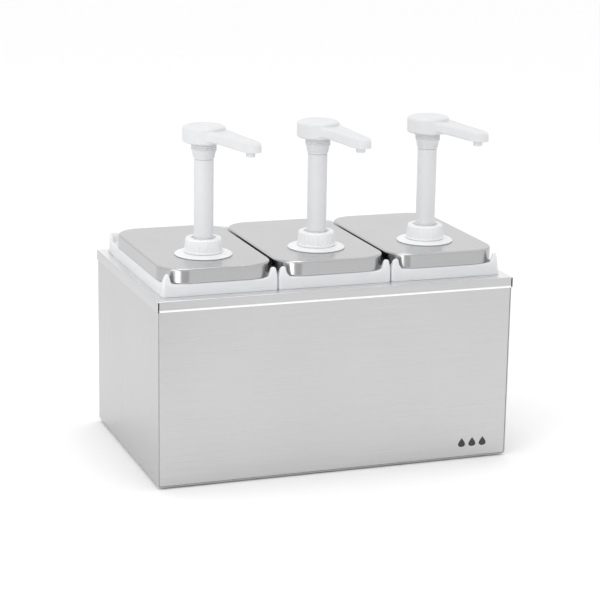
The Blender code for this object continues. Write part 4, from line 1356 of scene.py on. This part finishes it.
def speckled_finish(name, colour, metallic, roughness, speckle, depth):
    """Finish of the small parts: wire, balls, rubber and ink, with fine speckle in tone and gloss."""
    finish = bpy.data.materials.new(name)
    finish.use_nodes = True
    nodes, links = finish.node_tree.nodes, finish.node_tree.links
    nodes.clear()

    speckle_frame = nodes.new("NodeFrame")
    speckle_frame.label = "Speckle in tone, gloss and relief"
    position = nodes.new("ShaderNodeTexCoord")
    position.label = "Position on the part"
    specks = nodes.new("ShaderNodeTexNoise")
    specks.label = "Specks"
    specks.inputs["Scale"].default_value = speckle
    specks.inputs["Detail"].default_value = 4.0
    tone = nodes.new("ShaderNodeMapRange")
    tone.label = "Specks shift the tone"
    tone.inputs["To Min"].default_value = 0.9
    tone.inputs["To Max"].default_value = 1.1
    part_colour = nodes.new("ShaderNodeVectorMath")
    part_colour.label = "Part colour"
    part_colour.operation = 'SCALE'
    part_colour.inputs[0].default_value = colour
    gloss = nodes.new("ShaderNodeMapRange")
    gloss.label = "Specks vary the gloss"
    gloss.inputs["To Min"].default_value = max(roughness - 0.08, 0.02)
    gloss.inputs["To Max"].default_value = min(roughness + 0.08, 1.0)
    relief = nodes.new("ShaderNodeBump")
    relief.label = "Depth of the specks"
    relief.inputs["Strength"].default_value = 0.3
    relief.inputs["Distance"].default_value = depth
    part = nodes.new("ShaderNodeBsdfPrincipled")
    part.label = "Part surface"
    part.inputs["Metallic"].default_value = metallic
    surface = nodes.new("ShaderNodeOutputMaterial")
    surface.label = "Surface"

    layout = ((position, None, 0, 1), (specks, speckle_frame, 1, 1), (tone, speckle_frame, 2, 0),
              (part_colour, speckle_frame, 3, 0), (gloss, speckle_frame, 3, 1),
              (relief, speckle_frame, 3, 2), (part, None, 4, 1), (surface, None, 5, 1))
    for node, group, column, row in layout:
        node.parent = group
        node.location = (column * 240 - 1000, 300 - row * 300)

    links.new(position.outputs["Object"], specks.inputs["Vector"])
    links.new(specks.outputs["Fac"], tone.inputs["Value"])
    links.new(tone.outputs["Result"], part_colour.inputs["Scale"])
    links.new(specks.outputs["Fac"], gloss.inputs["Value"])
    links.new(specks.outputs["Fac"], relief.inputs["Height"])
    links.new(part_colour.outputs["Vector"], part.inputs["Base Color"])
    links.new(gloss.outputs["Result"], part.inputs["Roughness"])
    links.new(relief.outputs["Normal"], part.inputs["Normal"])
    links.new(part.outputs["BSDF"], surface.inputs["Surface"])
    return finish


# Stage -------------------------------------------------------------------------------------

def build_camera():
    """Camera in front and to the left, looking slightly down on the dispenser."""
    data = bpy.data.cameras.new("front_left_view")
    data.lens = 121.26
    data.sensor_width = 36.0
    camera = bpy.data.objects.new("front_left_view", data)
    bpy.context.scene.collection.objects.link(camera)
    yaw, pitch, roll = math.radians(-19.867), math.radians(14.236), math.radians(0.934)
    forward = Vector((-math.sin(yaw) * math.cos(pitch), math.cos(yaw) * math.cos(pitch), -math.sin(pitch)))
    level = Vector((math.cos(yaw), math.sin(yaw), 0.0))
    upright = level.cross(forward)
    right = math.cos(roll) * level + math.sin(roll) * upright
    up = math.cos(roll) * upright - math.sin(roll) * level
    camera.matrix_world = Matrix.Translation((-0.7449, -2.0619, 0.7176)) @ Matrix(
        (right, up, -forward)).transposed().to_4x4()
    bpy.context.scene.camera = camera


def build_floor():
    """A wide, pale, matt table top."""
    paper = bpy.data.materials.new("pale_floor")
    paper.use_nodes = True
    shader = paper.node_tree.nodes["Principled BSDF"]
    shader.inputs["Base Color"].default_value = FLOOR_TONE
    shader.inputs["Roughness"].default_value = 0.9
    shader.inputs["Specular IOR Level"].default_value = 0.1
    mesh = bpy.data.meshes.new("floor")
    half = 14.0
    corners = ((-half, -half, 0.0), (half, -half, 0.0), (half, half, 0.0), (-half, half, 0.0))
    mesh.from_pydata(corners, [], [(0, 1, 2, 3)])
    mesh.materials.append(paper)
    floor = bpy.data.objects.new("floor", mesh)
    bpy.context.scene.collection.objects.link(floor)


def build_softbox(name, place, aim, width, height, watts):
    data = bpy.data.lights.new(name, 'AREA')
    data.shape = 'RECTANGLE'
    data.size = width
    data.size_y = height
    data.energy = watts
    lamp = bpy.data.objects.new(name, data)
    bpy.context.scene.collection.objects.link(lamp)
    toward = Vector(aim) - Vector(place)
    lamp.visible_camera = False
    lamp.matrix_world = Matrix.Translation(place) @ toward.to_track_quat('-Z', 'Y').to_matrix().to_4x4()
    return lamp


def build_grey_card(name, place, width, height):
    """A standing card that only shows as a darker band in polished metal."""
    grey = bpy.data.materials.new(name)
    grey.use_nodes = True
    shader = grey.node_tree.nodes["Principled BSDF"]
    shader.inputs["Base Color"].default_value = CARD_TONE
    shader.inputs["Roughness"].default_value = 1.0
    x, y, z = place
    corners = ((x - width / 2, y, z), (x + width / 2, y, z), (x + width / 2, y, z + height),
               (x - width / 2, y, z + height))
    mesh = bpy.data.meshes.new(name)
    mesh.from_pydata(corners, [], [(0, 1, 2, 3)])
    mesh.materials.append(grey)
    card = bpy.data.objects.new(name, mesh)
    bpy.context.scene.collection.objects.link(card)
    card.visible_camera = False
    card.visible_diffuse = False
    card.visible_shadow = False


def build_studio():
    """Plain white surroundings with soft light from the upper left, from above and low at the front left.
    """
    world = bpy.data.worlds.new("white_studio")
    bpy.context.scene.world = world
    world.use_nodes = True
    surroundings = world.node_tree.nodes["Background"]
    surroundings.inputs["Color"].default_value = (1.0, 1.0, 1.0, 1.0)
    surroundings.inputs["Strength"].default_value = LIGHT_OF_SURROUNDINGS
    aim = (0.0, 0.0, 0.2)
    build_softbox("left_softbox", (-1.25, -1.0, 1.0), aim, 0.9, 1.4, 5.0)
    build_softbox("top_softbox", (0.0, 0.1, 1.9), aim, 0.7, 0.5, 4.5)
    build_softbox("low_softbox", (-0.53, -0.62, 0.09), (-0.06, -0.1, 0.2), 0.22, 0.16, 0.2)
    build_grey_card("front_card", (-0.22, -0.72, 0.0), 0.36, 0.12)
    bpy.context.scene.view_settings.view_transform = 'Standard'


def main():
    # The front steel's upward gain of 1.45 paints light onto the upward-facing ledge of the top frame.
    cabinet_steel = brushed_steel("cabinet_front_steel", (0.565, 0.565, 0.567), 0.30,
                                  (9.0, 700.0, 1100.0), 0.25, 1.45)
    # Side steel: its lower tone is painted shade on the cabinet's sides; its upright brushing is the
    # sheet's own.
    shaded_side_steel = brushed_steel("cabinet_side_steel_painted_shade", (0.515, 0.515, 0.517), 0.30,
                               (700.0, 1000.0, 9.0), 0.25, 1.0)
    # Near-white steel for the hem bead: a painted highlight along the lip's lower edge.
    hem_highlight_steel = brushed_steel("painted_highlight_hem_steel", (0.97, 0.97, 0.97), 0.14,
                              (9.0, 700.0, 700.0), 0.1, 1.0)
    lid_steel = pressed_lid_steel()
    tub_plastic = moulded_plastic("container_plastic", (0.70, 0.71, 0.725), 0.38, 0.6, (30.0, 30.0, 60.0))
    pump_plastic = moulded_plastic("pump_plastic", (0.66, 0.665, 0.68), 0.36, 0.15, (60.0, 60.0, 14.0))
    # A lighter copy of the pump plastic for the collar nut, its grip and the flange: the extra brightness
    # is painted light.
    collar_plastic_painted_light = moulded_plastic("collar_plastic_painted_light", (0.84, 0.845, 0.855), 0.36, 0.15,
                                     (60.0, 60.0, 14.0))
    wire = speckled_finish("spring_wire", (0.60, 0.60, 0.61), 1.0, 0.25, 900.0, 0.00003)
    ball_steel = speckled_finish("ball_steel", (0.72, 0.72, 0.73), 1.0, 0.12, 500.0, 0.00001)
    rubber = speckled_finish("foot_rubber", (0.03, 0.03, 0.03), 0.0, 0.75, 1200.0, 0.00008)
    ink = speckled_finish("printed_ink", (0.03, 0.03, 0.032), 0.0, 0.45, 2500.0, 0.00001)

    build_camera()
    build_studio()
    build_floor()
    build_wrapper(shaded_side_steel)
    build_end_panel("steel_front_panel", "front_panel", -1, cabinet_steel)
    build_end_panel("steel_back_panel", "back_panel", 1, cabinet_steel)
    build_top_frame(cabinet_steel)
    build_hem("front", -1, hem_highlight_steel)
    build_hem("back", 1, hem_highlight_steel)
    build_feet(rubber)
    build_drop_mark(ink)
    coil, grip = coil_tree(), grip_tree()
    for station in STATIONS:
        build_container(station, tub_plastic)
        build_lid(station, lid_steel)
        build_turned_pieces(station, pump_plastic, collar_plastic_painted_light)
        build_retaining_nut(station, pump_plastic)
        build_grip(station, grip, collar_plastic_painted_light)
        build_thread(station, coil, pump_plastic)
        build_spring(station, coil, wire)
        build_ball(station, "inlet_ball", ball_steel)
        build_ball(station, "outlet_ball", ball_steel)
        build_head(station, pump_plastic)
        build_nozzle(station, pump_plastic)


main()
